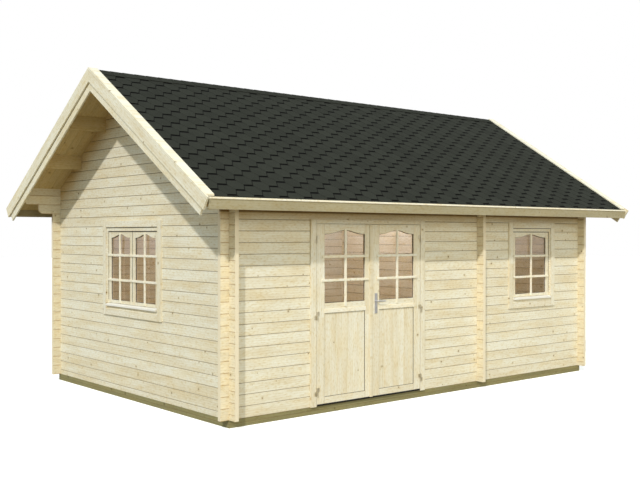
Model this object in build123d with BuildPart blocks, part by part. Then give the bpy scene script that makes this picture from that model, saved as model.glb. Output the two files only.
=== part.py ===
"""Log cabin with a double door, two windows and a shingled saddle roof.

Millimetres. +Z is up, +X runs along the ridge and the front wall with the
double door faces -Y. The origin is the middle of the plan, on the ground
under the foundation beams.
"""
import math
import os

from build123d import *

# Logs: machined boards on edge, stacked and crossed at the corners
LOG_HEIGHT = 114.0
LOG_THICK = 44.0
LOG_CHAMFER = 5.0
LOG_OVER = 100.0
SEAT_GAP = 0.3

# Plan, over the outer faces of the walls
LENGTH = 5800.0
DEPTH = 3860.0
PARTITION_X = 3645.0
EAVE_COURSES = 21
GABLE_COURSES = 31
TOP_LOG_TRIM = 52.0

# Foundation and floor
BEAM_HEIGHT = 78.0
BEAM_WIDTH = 58.0
JOIST_WIDTH = 45.0
JOIST_STEP = 560.0
FLOOR_THICK = 19.0
FLOOR_GAP = 4.0

# Roof
PITCH = 32.2
DECK_THICK = 19.0
COVER_THICK = 6.0
EAVE_OVER = 375.0
GABLE_OVER = 505.0
COVER_SHORT = 88.0
COVER_EAVE_SHORT = 3.0
STRIP_THICK = 14.5
RIDGE_CAP_WIDTH = 120.0
FASCIA_THICK = 19.0
FASCIA_HEIGHT = 112.0
FASCIA_DROP = 5.0
BARGE_THICK = 20.0
BARGE_WIDTH = 131.0
BARGE_PAST_EAVE = 52.0
BACKING_THICK = 19.0
BACKING_WIDTH = 174.0
BACKING_SHORT = 85.0
PURLIN_WIDTH = 44.0
PURLIN_HEIGHT = 165.0
PURLIN_STEP = 650.0
CORBEL_COURSES = (18, 19, 20)
CORBEL_REACH = (285.0, 480.0, 483.0)
CORBEL_CURVE = 70.0

# Casings and frames of the door and the windows
CASING_THICK = 20.0
CASING_WIDTH = 75.0
CASING_LAP = 22.0
CASING_OVER_HEAD = 7.0
FIT_GAP = 0.3

# Double door
DOOR_X = 1005.0
DOOR_WIDTH = 1700.0
DOOR_COURSES = 17
DOOR_GAP = 5.0
DOOR_UNDER = 12.0
DOOR_HEAD_LAP = 34.0
LEAF_THICK = 40.0
LEAF_PROUD = 18.0
MEETING_SHIFT = 17.0
STILE_WIDTH = 105.0
TOP_RAIL = 103.0
LOCK_RAIL_TOP = 1072.0
LOCK_RAIL_BOTTOM = 967.0
BOTTOM_RAIL_TOP = 92.0
ARCH_RISE = 40.0
ARCH_CROWN = 0.42
PANEL_SINK = 9.0
REBATE = 10.0
REBATE_LIP = 16.0
GLASS_THICK = 4.0
STOP_WIDTH = 14.0
THRESHOLD_HEIGHT = 24.0
ASTRAGAL_WIDTH = 38.0
ASTRAGAL_THICK = 12.0
ASTRAGAL_SETBACK = 1.0
ASTRAGAL_SHORT = 8.0

# Door hinges
HINGE_FROM_BOTTOM = 143.0
HINGE_FROM_TOP = 159.0
HINGE_LENGTH = 84.0
HINGE_RADIUS = 7.0
BARREL_SIDE_COUNT = 14
PIN_RADIUS = 4.0
PIN_CLEARANCE = 0.05
HINGE_STANDOFF = 30.0
HINGE_PLATE_WIDTH = 32.0
HINGE_PLATE_THICK = 3.5
HINGE_PLATE_BITE = 1.0
KNUCKLE_GAP = 1.0
DOOR_SWING = 150.0

# Door handle
LEVER_HEIGHT = 1062.0
LEVER_LENGTH = 118.0
LEVER_RADIUS = 8.0
LEVER_SIDE_COUNT = 8
LEVER_REACH = 46.0
NECK_RADIUS = 9.0
LOCK_MORTISE = 24.0
PLATE_WIDTH = 38.0
PLATE_HEIGHT = 220.0
PLATE_THICK = 6.0
PLATE_LOW = 135.0

# Windows
SILL_COURSES = 8
HEAD_COURSES = 17
WINDOW_WIDTH = 950.0
GABLE_WINDOW_WIDTH = 1335.0
CASING_UNDER_SILL = 58.0
BOTTOM_CASING = 71.0
HEAD_CASING = 72.0
FRAME_STRIP = 20.0
FRAME_STRIP_PROUD = 6.0
FRAME_HEAD_DEPTH = 109.0
FRAME_FOOT_DEPTH = 48.0
SASH_GAP = 4.0
SASH_TOP_RAIL = 74.0
SASH_FOOT_RAIL = 36.0
SASH_STILE = 60.0
SASH_THICK = 34.0
SASH_SINK = 10.0
SILL_THICK = 30.0
SILL_FALL = 12.0
SILL_PROUD = 34.0

# Doorway in the partition
DOORWAY_FROM_FRONT = 2480.0
DOORWAY_WIDTH = 820.0
DOORWAY_COURSES = 16

# Derived places
LEFT = -LENGTH / 2
RIGHT = LENGTH / 2
FRONT = -DEPTH / 2
REAR = DEPTH / 2
BASE = BEAM_HEIGHT + SEAT_GAP
SLOPE = math.tan(math.radians(PITCH))
COS = math.cos(math.radians(PITCH))
SIN = math.sin(math.radians(PITCH))
WALL_TOP = EAVE_COURSES * LOG_HEIGHT - TOP_LOG_TRIM
RIDGE_UNDER = BASE + WALL_TOP + DEPTH / 2 * SLOPE
PARTITION = LEFT + PARTITION_X
HALF = LOG_HEIGHT / 2

os.makedirs("parts", exist_ok=True)


def course(number):
    """Height of the underside of a course, whole or half, above the ground."""
    return BASE + number * LOG_HEIGHT


def save(piece, name):
    """Label one finished piece and write its STEP file."""
    piece.part.label = name
    export_step(piece.part, f"parts/{name}.step")


def log_profiles(plane, numbers, height=LOG_HEIGHT):
    """Draw the ends of the logs of several courses; a bevel runs along each upper arris."""
    with BuildSketch(plane) as profiles:
        for number in numbers:
            with Locations((0, course(number) + height / 2)):
                log = Rectangle(LOG_THICK, height - SEAT_GAP)
            chamfer(log.vertices().group_by(Axis.Y)[-1], LOG_CHAMFER)
    return profiles.sketch


def logs_along_x(start, end, face, numbers):
    """Add the logs of several courses that run along X; face is their -Y side."""
    plane = Plane(origin=(start, face + LOG_THICK / 2, 0), x_dir=(0, 1, 0), z_dir=(1, 0, 0))
    extrude(log_profiles(plane, numbers), amount=end - start, dir=plane.z_dir)


def logs_along_y(start, end, face, numbers, height=LOG_HEIGHT):
    """Add the logs of several courses that run along Y; face is their -X side."""
    plane = Plane(origin=(face + LOG_THICK / 2, start, 0), x_dir=(-1, 0, 0), z_dir=(0, 1, 0))
    extrude(log_profiles(plane, numbers, height), amount=end - start, dir=plane.z_dir)


def cut_box(low, high):
    """Cut the box between two corners out of the part being built."""
    middle = [(a + b) / 2 for a, b in zip(low, high)]
    size = [b - a for a, b in zip(low, high)]
    with Locations(tuple(middle)):
        Box(*size, mode=Mode.SUBTRACT)


def saddle_notches(crossings, numbers):
    """Cut the notches under the logs where the necks of crossing logs pass.

    A notch takes the lower half of the log, so that the upper halves of both
    walls fill each other's notches and the corner locks.
    """
    width = LOG_THICK + 2 * SEAT_GAP
    places = [
        (x_face + LOG_THICK / 2, y_face + LOG_THICK / 2, course(number) + HALF / 2 + SEAT_GAP / 8)
        for x_face, y_face in crossings
        for number in numbers
    ]
    if places:
        with Locations(*places):
            Box(width, width, HALF + SEAT_GAP * 3 / 4, mode=Mode.SUBTRACT)


def cut_to_roof(x_low, x_high):
    """Trim everything above the underside of the roof boards."""
    under = RIDGE_UNDER - SEAT_GAP
    reach = DEPTH
    edge = under - reach * SLOPE
    plane = Plane(origin=(x_low, 0, 0), x_dir=(0, 1, 0), z_dir=(1, 0, 0))
    with BuildSketch(plane) as sky:
        Polygon(
            (0, under), (reach, edge), (reach, under + reach), (-reach, under + reach), (-reach, edge),
            align=None,
        )
    extrude(sky.sketch, amount=x_high - x_low, dir=plane.z_dir, mode=Mode.SUBTRACT)


def round_corbel(end, number, y_face, outward):
    """Round the lower corner of a log end that carries the roof overhang."""
    low = course(number) - SEAT_GAP
    plane = Plane(origin=(0, y_face + LOG_THICK + 1, 0), x_dir=(1, 0, 0), z_dir=(0, -1, 0))
    with BuildSketch(plane) as corner:
        with BuildLine():
            Line((end - outward * CORBEL_CURVE, low), (end + outward, low))
            Line((end + outward, low), (end + outward, low + CORBEL_CURVE))
            Line((end + outward, low + CORBEL_CURVE), (end, low + CORBEL_CURVE))
            ThreePointArc(
                (end, low + CORBEL_CURVE),
                (
                    end - outward * CORBEL_CURVE * (1 - math.cos(math.radians(45))),
                    low + CORBEL_CURVE * (1 - math.sin(math.radians(45))),
                ),
                (end - outward * CORBEL_CURVE, low),
            )
        make_face()
    extrude(corner.sketch, amount=LOG_THICK + LOG_CHAMFER, dir=plane.z_dir, mode=Mode.SUBTRACT)


GABLES = (LEFT, RIGHT - LOG_THICK)
CROSSINGS = (LEFT, PARTITION, RIGHT - LOG_THICK)
LONG_WALLS = (FRONT, REAR - LOG_THICK)
LOG_LEFT = LEFT - LOG_OVER
LOG_RIGHT = RIGHT + LOG_OVER
LOG_FRONT = FRONT - LOG_OVER
LOG_REAR = REAR + LOG_OVER
DOOR_LEFT = LEFT + DOOR_X
DOOR_RIGHT = DOOR_LEFT + DOOR_WIDTH
WINDOW_MIDDLE = (PARTITION + RIGHT) / 2
WINDOW_LEFT = WINDOW_MIDDLE - WINDOW_WIDTH / 2
WINDOW_RIGHT = WINDOW_MIDDLE + WINDOW_WIDTH / 2
DOOR_CUT = (DOOR_LEFT + CASING_LAP, DOOR_RIGHT - CASING_LAP)
WINDOW_CUT = (WINDOW_LEFT + CASING_LAP, WINDOW_RIGHT - CASING_LAP)
GABLE_WINDOW_CUT = GABLE_WINDOW_WIDTH / 2 - CASING_LAP


def long_wall(name, start, end, numbers, face, corbels=False):
    """Write one stack of logs along X, notched where the cross walls pass."""
    plain = [number for number in numbers if not corbels or number not in CORBEL_COURSES]
    with BuildPart() as stack:
        logs_along_x(start, end, face, plain)
        if corbels:
            for number, reach in zip(CORBEL_COURSES, CORBEL_REACH):
                logs_along_x(LEFT - reach, RIGHT + reach, face, [number])
        saddle_notches([(x, face) for x in CROSSINGS if start < x < end], numbers)
        if corbels:
            for number, reach in zip(CORBEL_COURSES, CORBEL_REACH):
                round_corbel(LEFT - reach, number, face, -1)
                round_corbel(RIGHT + reach, number, face, 1)
            cut_to_roof(LEFT - GABLE_OVER, RIGHT + GABLE_OVER)
    save(stack, name)


long_wall("front_wall_left", LOG_LEFT, DOOR_CUT[0], range(DOOR_COURSES), FRONT)
long_wall("front_wall_base", DOOR_CUT[1], LOG_RIGHT, range(SILL_COURSES), FRONT)
long_wall("front_wall_middle", DOOR_CUT[1], WINDOW_CUT[0], range(SILL_COURSES, HEAD_COURSES), FRONT)
long_wall("front_wall_right", WINDOW_CUT[1], LOG_RIGHT, range(SILL_COURSES, HEAD_COURSES), FRONT)
long_wall("front_wall_top", LOG_LEFT, LOG_RIGHT, range(HEAD_COURSES, EAVE_COURSES), FRONT, True)
long_wall("rear_wall", LOG_LEFT, LOG_RIGHT, range(EAVE_COURSES), REAR - LOG_THICK, True)


def cross_wall(name, face, spans, numbers, half_log=False, window=0.0, roofed=False):
    """Write one stack of logs along Y, half a course above the long walls."""
    with BuildPart() as stack:
        for start, end in spans:
            if half_log:
                logs_along_y(start, end, face, [0], HALF)
            raised = [number + 0.5 for number in numbers]
            logs_along_y(start, end, face, raised)
            saddle_notches([(face, y) for y in LONG_WALLS if start < y < end], raised)
        if window:
            cut_box(
                (face - 1, -window, course(SILL_COURSES)),
                (face + LOG_THICK + 1, window, course(HEAD_COURSES)),
            )
        if roofed:
            cut_to_roof(face - 1, face + LOG_THICK + 1)
    save(stack, name)


FULL = ((LOG_FRONT, LOG_REAR),)
cross_wall("left_gable_base", GABLES[0], FULL, range(SILL_COURSES), True, GABLE_WINDOW_CUT)
cross_wall(
    "left_gable_front_side", GABLES[0], ((LOG_FRONT, -GABLE_WINDOW_CUT),), range(SILL_COURSES, HEAD_COURSES - 1)
)
cross_wall(
    "left_gable_rear_side", GABLES[0], ((GABLE_WINDOW_CUT, LOG_REAR),), range(SILL_COURSES, HEAD_COURSES - 1)
)
cross_wall(
    "left_gable_top", GABLES[0], FULL, range(HEAD_COURSES - 1, EAVE_COURSES - 1), False, GABLE_WINDOW_CUT, True
)
cross_wall("right_gable_wall", GABLES[1], FULL, range(EAVE_COURSES - 1), True, 0.0, True)

DOORWAY_LOW = FRONT + DOORWAY_FROM_FRONT
DOORWAY_HIGH = DOORWAY_LOW + DOORWAY_WIDTH
DOORWAY_NUMBERS = range(DOORWAY_COURSES)
cross_wall("partition_front", PARTITION, ((LOG_FRONT, DOORWAY_LOW),), DOORWAY_NUMBERS, True)
cross_wall("partition_rear", PARTITION, ((DOORWAY_HIGH, LOG_REAR),), DOORWAY_NUMBERS, True)
cross_wall(
    "partition_top", PARTITION, FULL, range(DOORWAY_COURSES, EAVE_COURSES - 1), False, 0.0, True
)


def purlin_places():
    """Offsets of the purlins from the ridge, the ridge beam first."""
    return (0.0, -PURLIN_STEP, PURLIN_STEP, -2 * PURLIN_STEP, 2 * PURLIN_STEP)


def purlin_low(offset):
    """Underside of a purlin; its upslope face has the full height."""
    inner = max(abs(offset) - PURLIN_WIDTH / 2, 0.0)
    return RIDGE_UNDER - inner * SLOPE - PURLIN_HEIGHT


def gable_triangle(name, face):
    """Write the logs above the eaves, cut to the pitch and let in for purlins."""
    limit = DEPTH / 2 - LOG_THICK - SEAT_GAP
    with BuildPart() as stack:
        raised = [number + 0.5 for number in range(EAVE_COURSES - 1, GABLE_COURSES)]
        logs_along_y(-limit, limit, face, raised)
        cut_to_roof(face - 1, face + LOG_THICK + 1)
        for offset in purlin_places():
            half_width = PURLIN_WIDTH / 2 + FIT_GAP
            cut_box(
                (face - 1, offset - half_width, purlin_low(offset) - FIT_GAP),
                (face + LOG_THICK + 1, offset + half_width, RIDGE_UNDER),
            )
    save(stack, name)


gable_triangle("left_gable_triangle", GABLES[0])
gable_triangle("right_gable_triangle", GABLES[1])

PURLIN_REACH = GABLE_OVER - BACKING_THICK - FIT_GAP

with BuildPart() as purlins:
    for place in purlin_places():
        bottom = purlin_low(place)
        top = RIDGE_UNDER
        with Locations((0, place, (bottom + top) / 2)):
            Box(LENGTH + 2 * PURLIN_REACH, PURLIN_WIDTH, top - bottom)
    cut_to_roof(LEFT - GABLE_OVER, RIGHT + GABLE_OVER)
save(purlins, "purlins")

# Foundation beams lie flush with the walls, and joists carry the floor
with BuildPart() as foundation_beams:
    for y in (FRONT + BEAM_WIDTH / 2, REAR - BEAM_WIDTH / 2):
        with Locations((0, y, BEAM_HEIGHT / 2)):
            Box(LENGTH, BEAM_WIDTH, BEAM_HEIGHT)
    cross_length = DEPTH - 2 * BEAM_WIDTH - 2 * SEAT_GAP
    cross_beams = (
        LEFT + BEAM_WIDTH / 2,
        PARTITION + LOG_THICK / 2,
        RIGHT - BEAM_WIDTH / 2,
    )
    for x in cross_beams:
        with Locations((x, 0, BEAM_HEIGHT / 2)):
            Box(BEAM_WIDTH, cross_length, BEAM_HEIGHT)
save(foundation_beams, "foundation_beams")


def joist_lines(low, high):
    """Even places for the joists between two cross beams."""
    count = max(int(round((high - low) / JOIST_STEP)) - 1, 1)
    return [low + (high - low) * (n + 1) / (count + 1) for n in range(count)]


with BuildPart() as floor_joists:
    for low, high in zip(cross_beams[:-1], cross_beams[1:]):
        for x in joist_lines(low, high):
            with Locations((x, 0, BEAM_HEIGHT / 2)):
                Box(JOIST_WIDTH, cross_length, BEAM_HEIGHT)
save(floor_joists, "floor_joists")

ROOMS = {
    "main": (LEFT + LOG_THICK, PARTITION),
    "side": (PARTITION + LOG_THICK, RIGHT - LOG_THICK),
}
for room, (x_low, x_high) in ROOMS.items():
    with BuildPart() as floor:
        with Locations(((x_low + x_high) / 2, 0, BASE + FLOOR_THICK / 2)):
            Box(
                x_high - x_low - 2 * FLOOR_GAP,
                DEPTH - 2 * LOG_THICK - 2 * FLOOR_GAP,
                FLOOR_THICK,
            )
    save(floor, f"floor_{room}_room")


def roof_slab(name, side, x_reach, low_under, thick, eave):
    """Write one sloping slab of the roof; side is -1 in front and 1 behind."""
    rise = thick / COS
    meet = SEAT_GAP / 2
    with BuildPart() as slab:
        with BuildSketch(Plane(origin=(-x_reach, 0, 0), x_dir=(0, 1, 0), z_dir=(1, 0, 0))):
            Polygon(
                (side * meet, low_under - meet * SLOPE),
                (side * eave, low_under - eave * SLOPE),
                (side * eave, low_under - eave * SLOPE + rise),
                (side * meet, low_under - meet * SLOPE + rise),
                align=None,
            )
        extrude(amount=2 * x_reach)
    save(slab, name)


DECK_X = LENGTH / 2 + GABLE_OVER
COVER_UNDER = RIDGE_UNDER + (DECK_THICK + SEAT_GAP) / COS
COVER_TOP = COVER_UNDER + COVER_THICK / COS
STRIP_UNDER = COVER_TOP + SEAT_GAP / COS
STRIP_TOP = STRIP_UNDER + STRIP_THICK / COS
EAVE = DEPTH / 2 + EAVE_OVER
COVER_EAVE = EAVE - COVER_EAVE_SHORT
for side, word in ((-1, "front"), (1, "rear")):
    roof_slab(f"roof_deck_{word}", side, DECK_X, RIDGE_UNDER, DECK_THICK, EAVE)
    roof_slab(f"roof_covering_{word}", side, DECK_X, COVER_UNDER, COVER_THICK, COVER_EAVE)

with BuildPart() as ridge_cap:
    cap_x = DECK_X - COVER_SHORT - SEAT_GAP
    with BuildSketch(Plane(origin=(-cap_x, 0, 0), x_dir=(0, 1, 0), z_dir=(1, 0, 0))):
        drop = RIDGE_CAP_WIDTH * COS * SLOPE
        reach = RIDGE_CAP_WIDTH * COS
        cap_rise = COVER_THICK / COS
        Polygon(
            (0, STRIP_UNDER), (reach, STRIP_UNDER - drop), (reach, STRIP_UNDER - drop + cap_rise),
            (0, STRIP_UNDER + cap_rise), (-reach, STRIP_UNDER - drop + cap_rise),
            (-reach, STRIP_UNDER - drop), align=None,
        )
    extrude(amount=2 * cap_x)
save(ridge_cap, "ridge_cap")


def sloping_board(plane, top, width, end, thick):
    """Add the two raking boards of one gable, meeting at the ridge."""
    meet = SEAT_GAP / 2
    low = width / COS
    for side in (-1, 1):
        tip = (side * end, top - end * SLOPE)
        heel = (side * (end - width * SIN), tip[1] - width * COS)
        with BuildSketch(plane) as board:
            Polygon(
                (side * meet, top - meet * SLOPE), tip, heel, (side * meet, top - meet * SLOPE - low),
                align=None,
            )
        extrude(board.sketch, amount=thick, dir=plane.z_dir)


BARGE_END = EAVE + BARGE_PAST_EAVE
BACKING_TOP = RIDGE_UNDER - SEAT_GAP
BACKING_END = EAVE + BARGE_PAST_EAVE - BACKING_SHORT + BACKING_WIDTH * SIN - BARGE_WIDTH * SIN
for outward, word in ((-1, "left"), (1, "right")):
    face = outward * DECK_X
    outer = Plane(origin=(face + outward * SEAT_GAP, 0, 0), x_dir=(0, 1, 0), z_dir=(1, 0, 0))
    inner = Plane(
        origin=(face - outward * BACKING_THICK, 0, 0), x_dir=(0, 1, 0), z_dir=(1, 0, 0)
    )
    with BuildPart() as outer_boards:
        sloping_board(outer, STRIP_TOP, BARGE_WIDTH, BARGE_END, outward * BARGE_THICK)
    save(outer_boards, f"bargeboards_{word}")
    with BuildPart() as backing_boards:
        sloping_board(inner, BACKING_TOP, BACKING_WIDTH, BACKING_END, outward * BACKING_THICK)
    save(backing_boards, f"backing_boards_{word}")

with BuildPart() as edge_strips:
    for outward in (-1, 1):
        x_start = outward * (DECK_X - COVER_SHORT)
        for side in (-1, 1):
            meet = SEAT_GAP / 2
            with BuildSketch(Plane(origin=(x_start, 0, 0), x_dir=(0, 1, 0), z_dir=(1, 0, 0))):
                Polygon(
                    (side * meet, STRIP_UNDER - meet * SLOPE),
                    (side * EAVE, STRIP_UNDER - EAVE * SLOPE),
                    (side * EAVE, STRIP_TOP - EAVE * SLOPE),
                    (side * meet, STRIP_TOP - meet * SLOPE),
                    align=None,
                )
            extrude(amount=outward * COVER_SHORT)
save(edge_strips, "gable_edge_strips")

FASCIA_TOP = RIDGE_UNDER - EAVE * SLOPE + DECK_THICK / COS
FASCIA_X = DECK_X - BACKING_THICK - SEAT_GAP
for side, word in ((-1, "front"), (1, "rear")):
    with BuildPart() as fascia:
        with Locations(
            (0, side * (EAVE + SEAT_GAP + FASCIA_THICK / 2), FASCIA_TOP - FASCIA_HEIGHT / 2)
        ):
            Box(2 * FASCIA_X, FASCIA_THICK, FASCIA_HEIGHT)
    save(fascia, f"fascia_{word}")


def front_plane(depth):
    """Elevation plane of the front wall, depth behind its outer face."""
    return Plane(origin=(0, FRONT + depth, 0), x_dir=(1, 0, 0), z_dir=(0, -1, 0))


def gable_plane(depth):
    """Elevation plane of the left gable, depth behind its outer face."""
    return Plane(origin=(LEFT + depth, 0, 0), x_dir=(0, -1, 0), z_dir=(-1, 0, 0))


def slab(plane, x_low, x_high, z_low, z_high, thick, mode=Mode.ADD):
    """Add or cut one flat board drawn on an elevation and run outward."""
    with BuildSketch(plane) as board:
        with Locations(((x_low + x_high) / 2, (z_low + z_high) / 2)):
            Rectangle(x_high - x_low, z_high - z_low)
    extrude(board.sketch, amount=thick, dir=plane.z_dir, mode=mode)


def arched(plane, x_low, x_high, z_low, z_side, rise, thick, mode=Mode.ADD):
    """Add or cut a pane shape whose head swells from level shoulders to a round crown."""
    middle = (x_low + x_high) / 2
    crown_half = ARCH_CROWN * (x_high - x_low) / 2
    crown_low = z_side + (1 - ARCH_CROWN) * rise
    with BuildSketch(plane) as pane:
        with BuildLine():
            Polyline((x_low, z_side), (x_low, z_low), (x_high, z_low), (x_high, z_side))
            swell = TangentArc((x_high, z_side), (middle + crown_half, crown_low), tangent=(-1, 0))
            crown = TangentArc(swell @ 1, (middle - crown_half, crown_low), tangent=swell % 1)
            TangentArc(crown @ 1, (x_low, z_side), tangent=crown % 1)
        make_face()
    extrude(pane.sketch, amount=thick, dir=plane.z_dir, mode=mode)


# Door frame: casing on the face of the wall, a core in the opening and a stop
DOOR_HEAD = course(DOOR_COURSES) - FIT_GAP
JAMB_LEFT = DOOR_LEFT + CASING_WIDTH
JAMB_RIGHT = DOOR_RIGHT - CASING_WIDTH
LEAF_HEAD = course(DOOR_COURSES) - DOOR_HEAD_LAP
CORE_FRONT = -SEAT_GAP
STOP_FRONT = LEAF_THICK - LEAF_PROUD + DOOR_GAP
with BuildPart() as door_frame:
    face = front_plane(CORE_FRONT)
    back = front_plane(LOG_THICK)
    slab(face, DOOR_LEFT, DOOR_RIGHT, BASE, course(DOOR_COURSES) + CASING_OVER_HEAD, CASING_THICK)
    slab(back, DOOR_CUT[0] + FIT_GAP, DOOR_CUT[1] - FIT_GAP, BASE, DOOR_HEAD, LOG_THICK - CORE_FRONT)
    slab(
        back, JAMB_LEFT, JAMB_RIGHT, BASE, LEAF_HEAD,
        LOG_THICK + 2 * CASING_THICK, Mode.SUBTRACT,
    )
    for low, high in (
        (JAMB_LEFT, JAMB_LEFT + STOP_WIDTH),
        (JAMB_RIGHT - STOP_WIDTH, JAMB_RIGHT),
    ):
        slab(back, low, high, BASE, LEAF_HEAD, LOG_THICK - STOP_FRONT)
    slab(back, JAMB_LEFT, JAMB_RIGHT, LEAF_HEAD - STOP_WIDTH, LEAF_HEAD, LOG_THICK - STOP_FRONT)
    slab(back, JAMB_LEFT, JAMB_RIGHT, BASE, BASE + THRESHOLD_HEIGHT, LOG_THICK - STOP_FRONT)
save(door_frame, "door_frame")

# Door leaves, glazed above the lock rail and panelled below it
MEETING = (DOOR_LEFT + DOOR_RIGHT) / 2 + MEETING_SHIFT
LEAVES = {
    "left": (JAMB_LEFT + DOOR_GAP, MEETING - DOOR_GAP / 2),
    "right": (MEETING + DOOR_GAP / 2, JAMB_RIGHT - DOOR_GAP),
}
LEAF_LOW = BASE + DOOR_UNDER
LEAF_TOP = LEAF_HEAD - DOOR_GAP
LEAF_BACK = LEAF_THICK - LEAF_PROUD
GLASS_SIDE_DOOR = LEAF_TOP - TOP_RAIL
LEVER_X = LEAVES["right"][0] + STILE_WIDTH / 2
LEVER_Z = BASE + LEVER_HEIGHT
for word, (x_low, x_high) in LEAVES.items():
    pane_low = x_low + STILE_WIDTH
    pane_high = x_high - STILE_WIDTH
    back = front_plane(LEAF_BACK)
    with BuildPart() as leaf:
        slab(back, x_low, x_high, LEAF_LOW, LEAF_TOP, LEAF_THICK)
        arched(
            back, pane_low, pane_high, BASE + LOCK_RAIL_TOP, GLASS_SIDE_DOOR,
            ARCH_RISE, LEAF_THICK, Mode.SUBTRACT,
        )
        arched(
            back, pane_low - REBATE, pane_high + REBATE, BASE + LOCK_RAIL_TOP - REBATE,
            GLASS_SIDE_DOOR + REBATE, ARCH_RISE, LEAF_THICK - REBATE_LIP, Mode.SUBTRACT,
        )
        for depth, thick in ((PANEL_SINK - LEAF_PROUD, PANEL_SINK), (LEAF_BACK, PANEL_SINK)):
            slab(
                front_plane(depth), pane_low, pane_high, BASE + BOTTOM_RAIL_TOP, BASE + LOCK_RAIL_BOTTOM,
                thick, Mode.SUBTRACT,
            )
        if word == "right":
            slab(
                back, LEVER_X - LOCK_MORTISE / 2, LEVER_X + LOCK_MORTISE / 2,
                LEVER_Z - LOCK_MORTISE / 2, LEVER_Z + LOCK_MORTISE / 2, LEAF_THICK, Mode.SUBTRACT,
            )
    save(leaf, f"door_leaf_{word}")
    with BuildPart() as glass:
        glass_back = LEAF_BACK - (LEAF_THICK - REBATE_LIP) + SEAT_GAP + GLASS_THICK
        arched(
            front_plane(glass_back), pane_low - REBATE + SEAT_GAP, pane_high + REBATE - SEAT_GAP,
            BASE + LOCK_RAIL_TOP - REBATE + SEAT_GAP, GLASS_SIDE_DOOR + REBATE - SEAT_GAP,
            ARCH_RISE, GLASS_THICK,
        )
    save(glass, f"door_glass_{word}")

with BuildPart() as door_astragal:
    strip_high = LEAVES["left"][1] - ASTRAGAL_SETBACK
    slab(
        front_plane(-LEAF_PROUD - SEAT_GAP), strip_high - ASTRAGAL_WIDTH, strip_high,
        LEAF_LOW + ASTRAGAL_SHORT, LEAF_TOP - ASTRAGAL_SHORT, ASTRAGAL_THICK,
    )
save(door_astragal, "door_astragal")

# Barrel hinges: the frame half carries the pin, the leaf half turns on it
HINGE_Y = FRONT - HINGE_STANDOFF
HINGE_X = {
    "left": (JAMB_LEFT + LEAVES["left"][0]) / 2,
    "right": (JAMB_RIGHT + LEAVES["right"][1]) / 2,
}


HINGE_LOW = LEAF_LOW + HINGE_FROM_BOTTOM
HINGE_TOP = LEAF_TOP - HINGE_FROM_TOP
HINGE_MIDDLES = (HINGE_LOW, (HINGE_LOW + HINGE_TOP) / 2, HINGE_TOP)


def barrel(x, low, high):
    """Add the knuckle of a hinge, drawn with flats that read as round."""
    with BuildSketch(Plane.XY.offset(low)) as knuckle:
        with Locations((x, HINGE_Y)):
            RegularPolygon(HINGE_RADIUS, BARREL_SIDE_COUNT)
    extrude(knuckle.sketch, amount=high - low)


def pin(x, low, high, radius, mode=Mode.ADD):
    """Add the pin of a hinge or cut the bore that turns on it."""
    with BuildSketch(Plane.XY.offset(low)) as circle:
        with Locations((x, HINGE_Y)):
            Circle(radius)
    extrude(circle.sketch, amount=high - low, mode=mode)


with BuildPart() as hinge_pins:
    for word, towards in (("left", -1), ("right", 1)):
        x = HINGE_X[word]
        for middle in HINGE_MIDDLES:
            low = middle - HINGE_LENGTH / 2
            split_at = middle - KNUCKLE_GAP / 2
            barrel(x, low, split_at)
            pin(x, split_at, low + HINGE_LENGTH - HINGE_RADIUS, PIN_RADIUS)
            edge = sorted((x, x + towards * HINGE_PLATE_WIDTH))
            slab(
                front_plane(-CASING_THICK - 2 * SEAT_GAP), edge[0], edge[1], low, split_at,
                HINGE_PLATE_THICK,
            )
save(hinge_pins, "door_hinge_pins")

for word, towards in (("left", 1), ("right", -1)):
    x = HINGE_X[word]
    with BuildPart() as leaf_hinges:
        for middle in HINGE_MIDDLES:
            low = middle + KNUCKLE_GAP / 2
            high = middle + HINGE_LENGTH / 2
            barrel(x, low, high)
            edge = sorted((x, x + towards * HINGE_PLATE_WIDTH))
            slab(
                front_plane(-LEAF_PROUD - SEAT_GAP), edge[0], edge[1], low, high,
                HINGE_STANDOFF - LEAF_PROUD - HINGE_RADIUS + HINGE_PLATE_BITE,
            )
            pin(x, low, high - HINGE_RADIUS / 2, PIN_RADIUS + PIN_CLEARANCE, Mode.SUBTRACT)
    save(leaf_hinges, f"door_hinges_{word}")

# Handle: a long plate on each face of the right leaf and one sprung lever set
OUTER_FACE = -LEAF_PROUD
with BuildPart() as handle_plates:
    for depth in (OUTER_FACE - SEAT_GAP, LEAF_BACK + SEAT_GAP + PLATE_THICK):
        slab(
            front_plane(depth), LEVER_X - PLATE_WIDTH / 2, LEVER_X + PLATE_WIDTH / 2,
            LEVER_Z - PLATE_LOW, LEVER_Z - PLATE_LOW + PLATE_HEIGHT, PLATE_THICK,
        )
    with BuildSketch(front_plane(LEAF_BACK + 2 * PLATE_THICK)):
        with Locations((LEVER_X, LEVER_Z)):
            Circle(NECK_RADIUS + PIN_CLEARANCE)
    extrude(amount=LEAF_THICK + 4 * PLATE_THICK, mode=Mode.SUBTRACT)
save(handle_plates, "door_handle_plates")

with BuildPart() as door_lever:
    inner_end = LEAF_BACK + LEVER_REACH
    outer_end = OUTER_FACE - LEVER_REACH
    with BuildSketch(front_plane(inner_end)):
        with Locations((LEVER_X, LEVER_Z)):
            Circle(NECK_RADIUS)
    extrude(amount=inner_end - outer_end)
    for depth in (inner_end - LEVER_RADIUS, outer_end + LEVER_RADIUS):
        y = FRONT + depth
        with BuildSketch(Plane(origin=(LEVER_X, y, LEVER_Z), x_dir=(0, 1, 0), z_dir=(1, 0, 0))):
            RegularPolygon(LEVER_RADIUS, LEVER_SIDE_COUNT)
        extrude(amount=LEVER_LENGTH)
save(door_lever, "door_lever")


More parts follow.
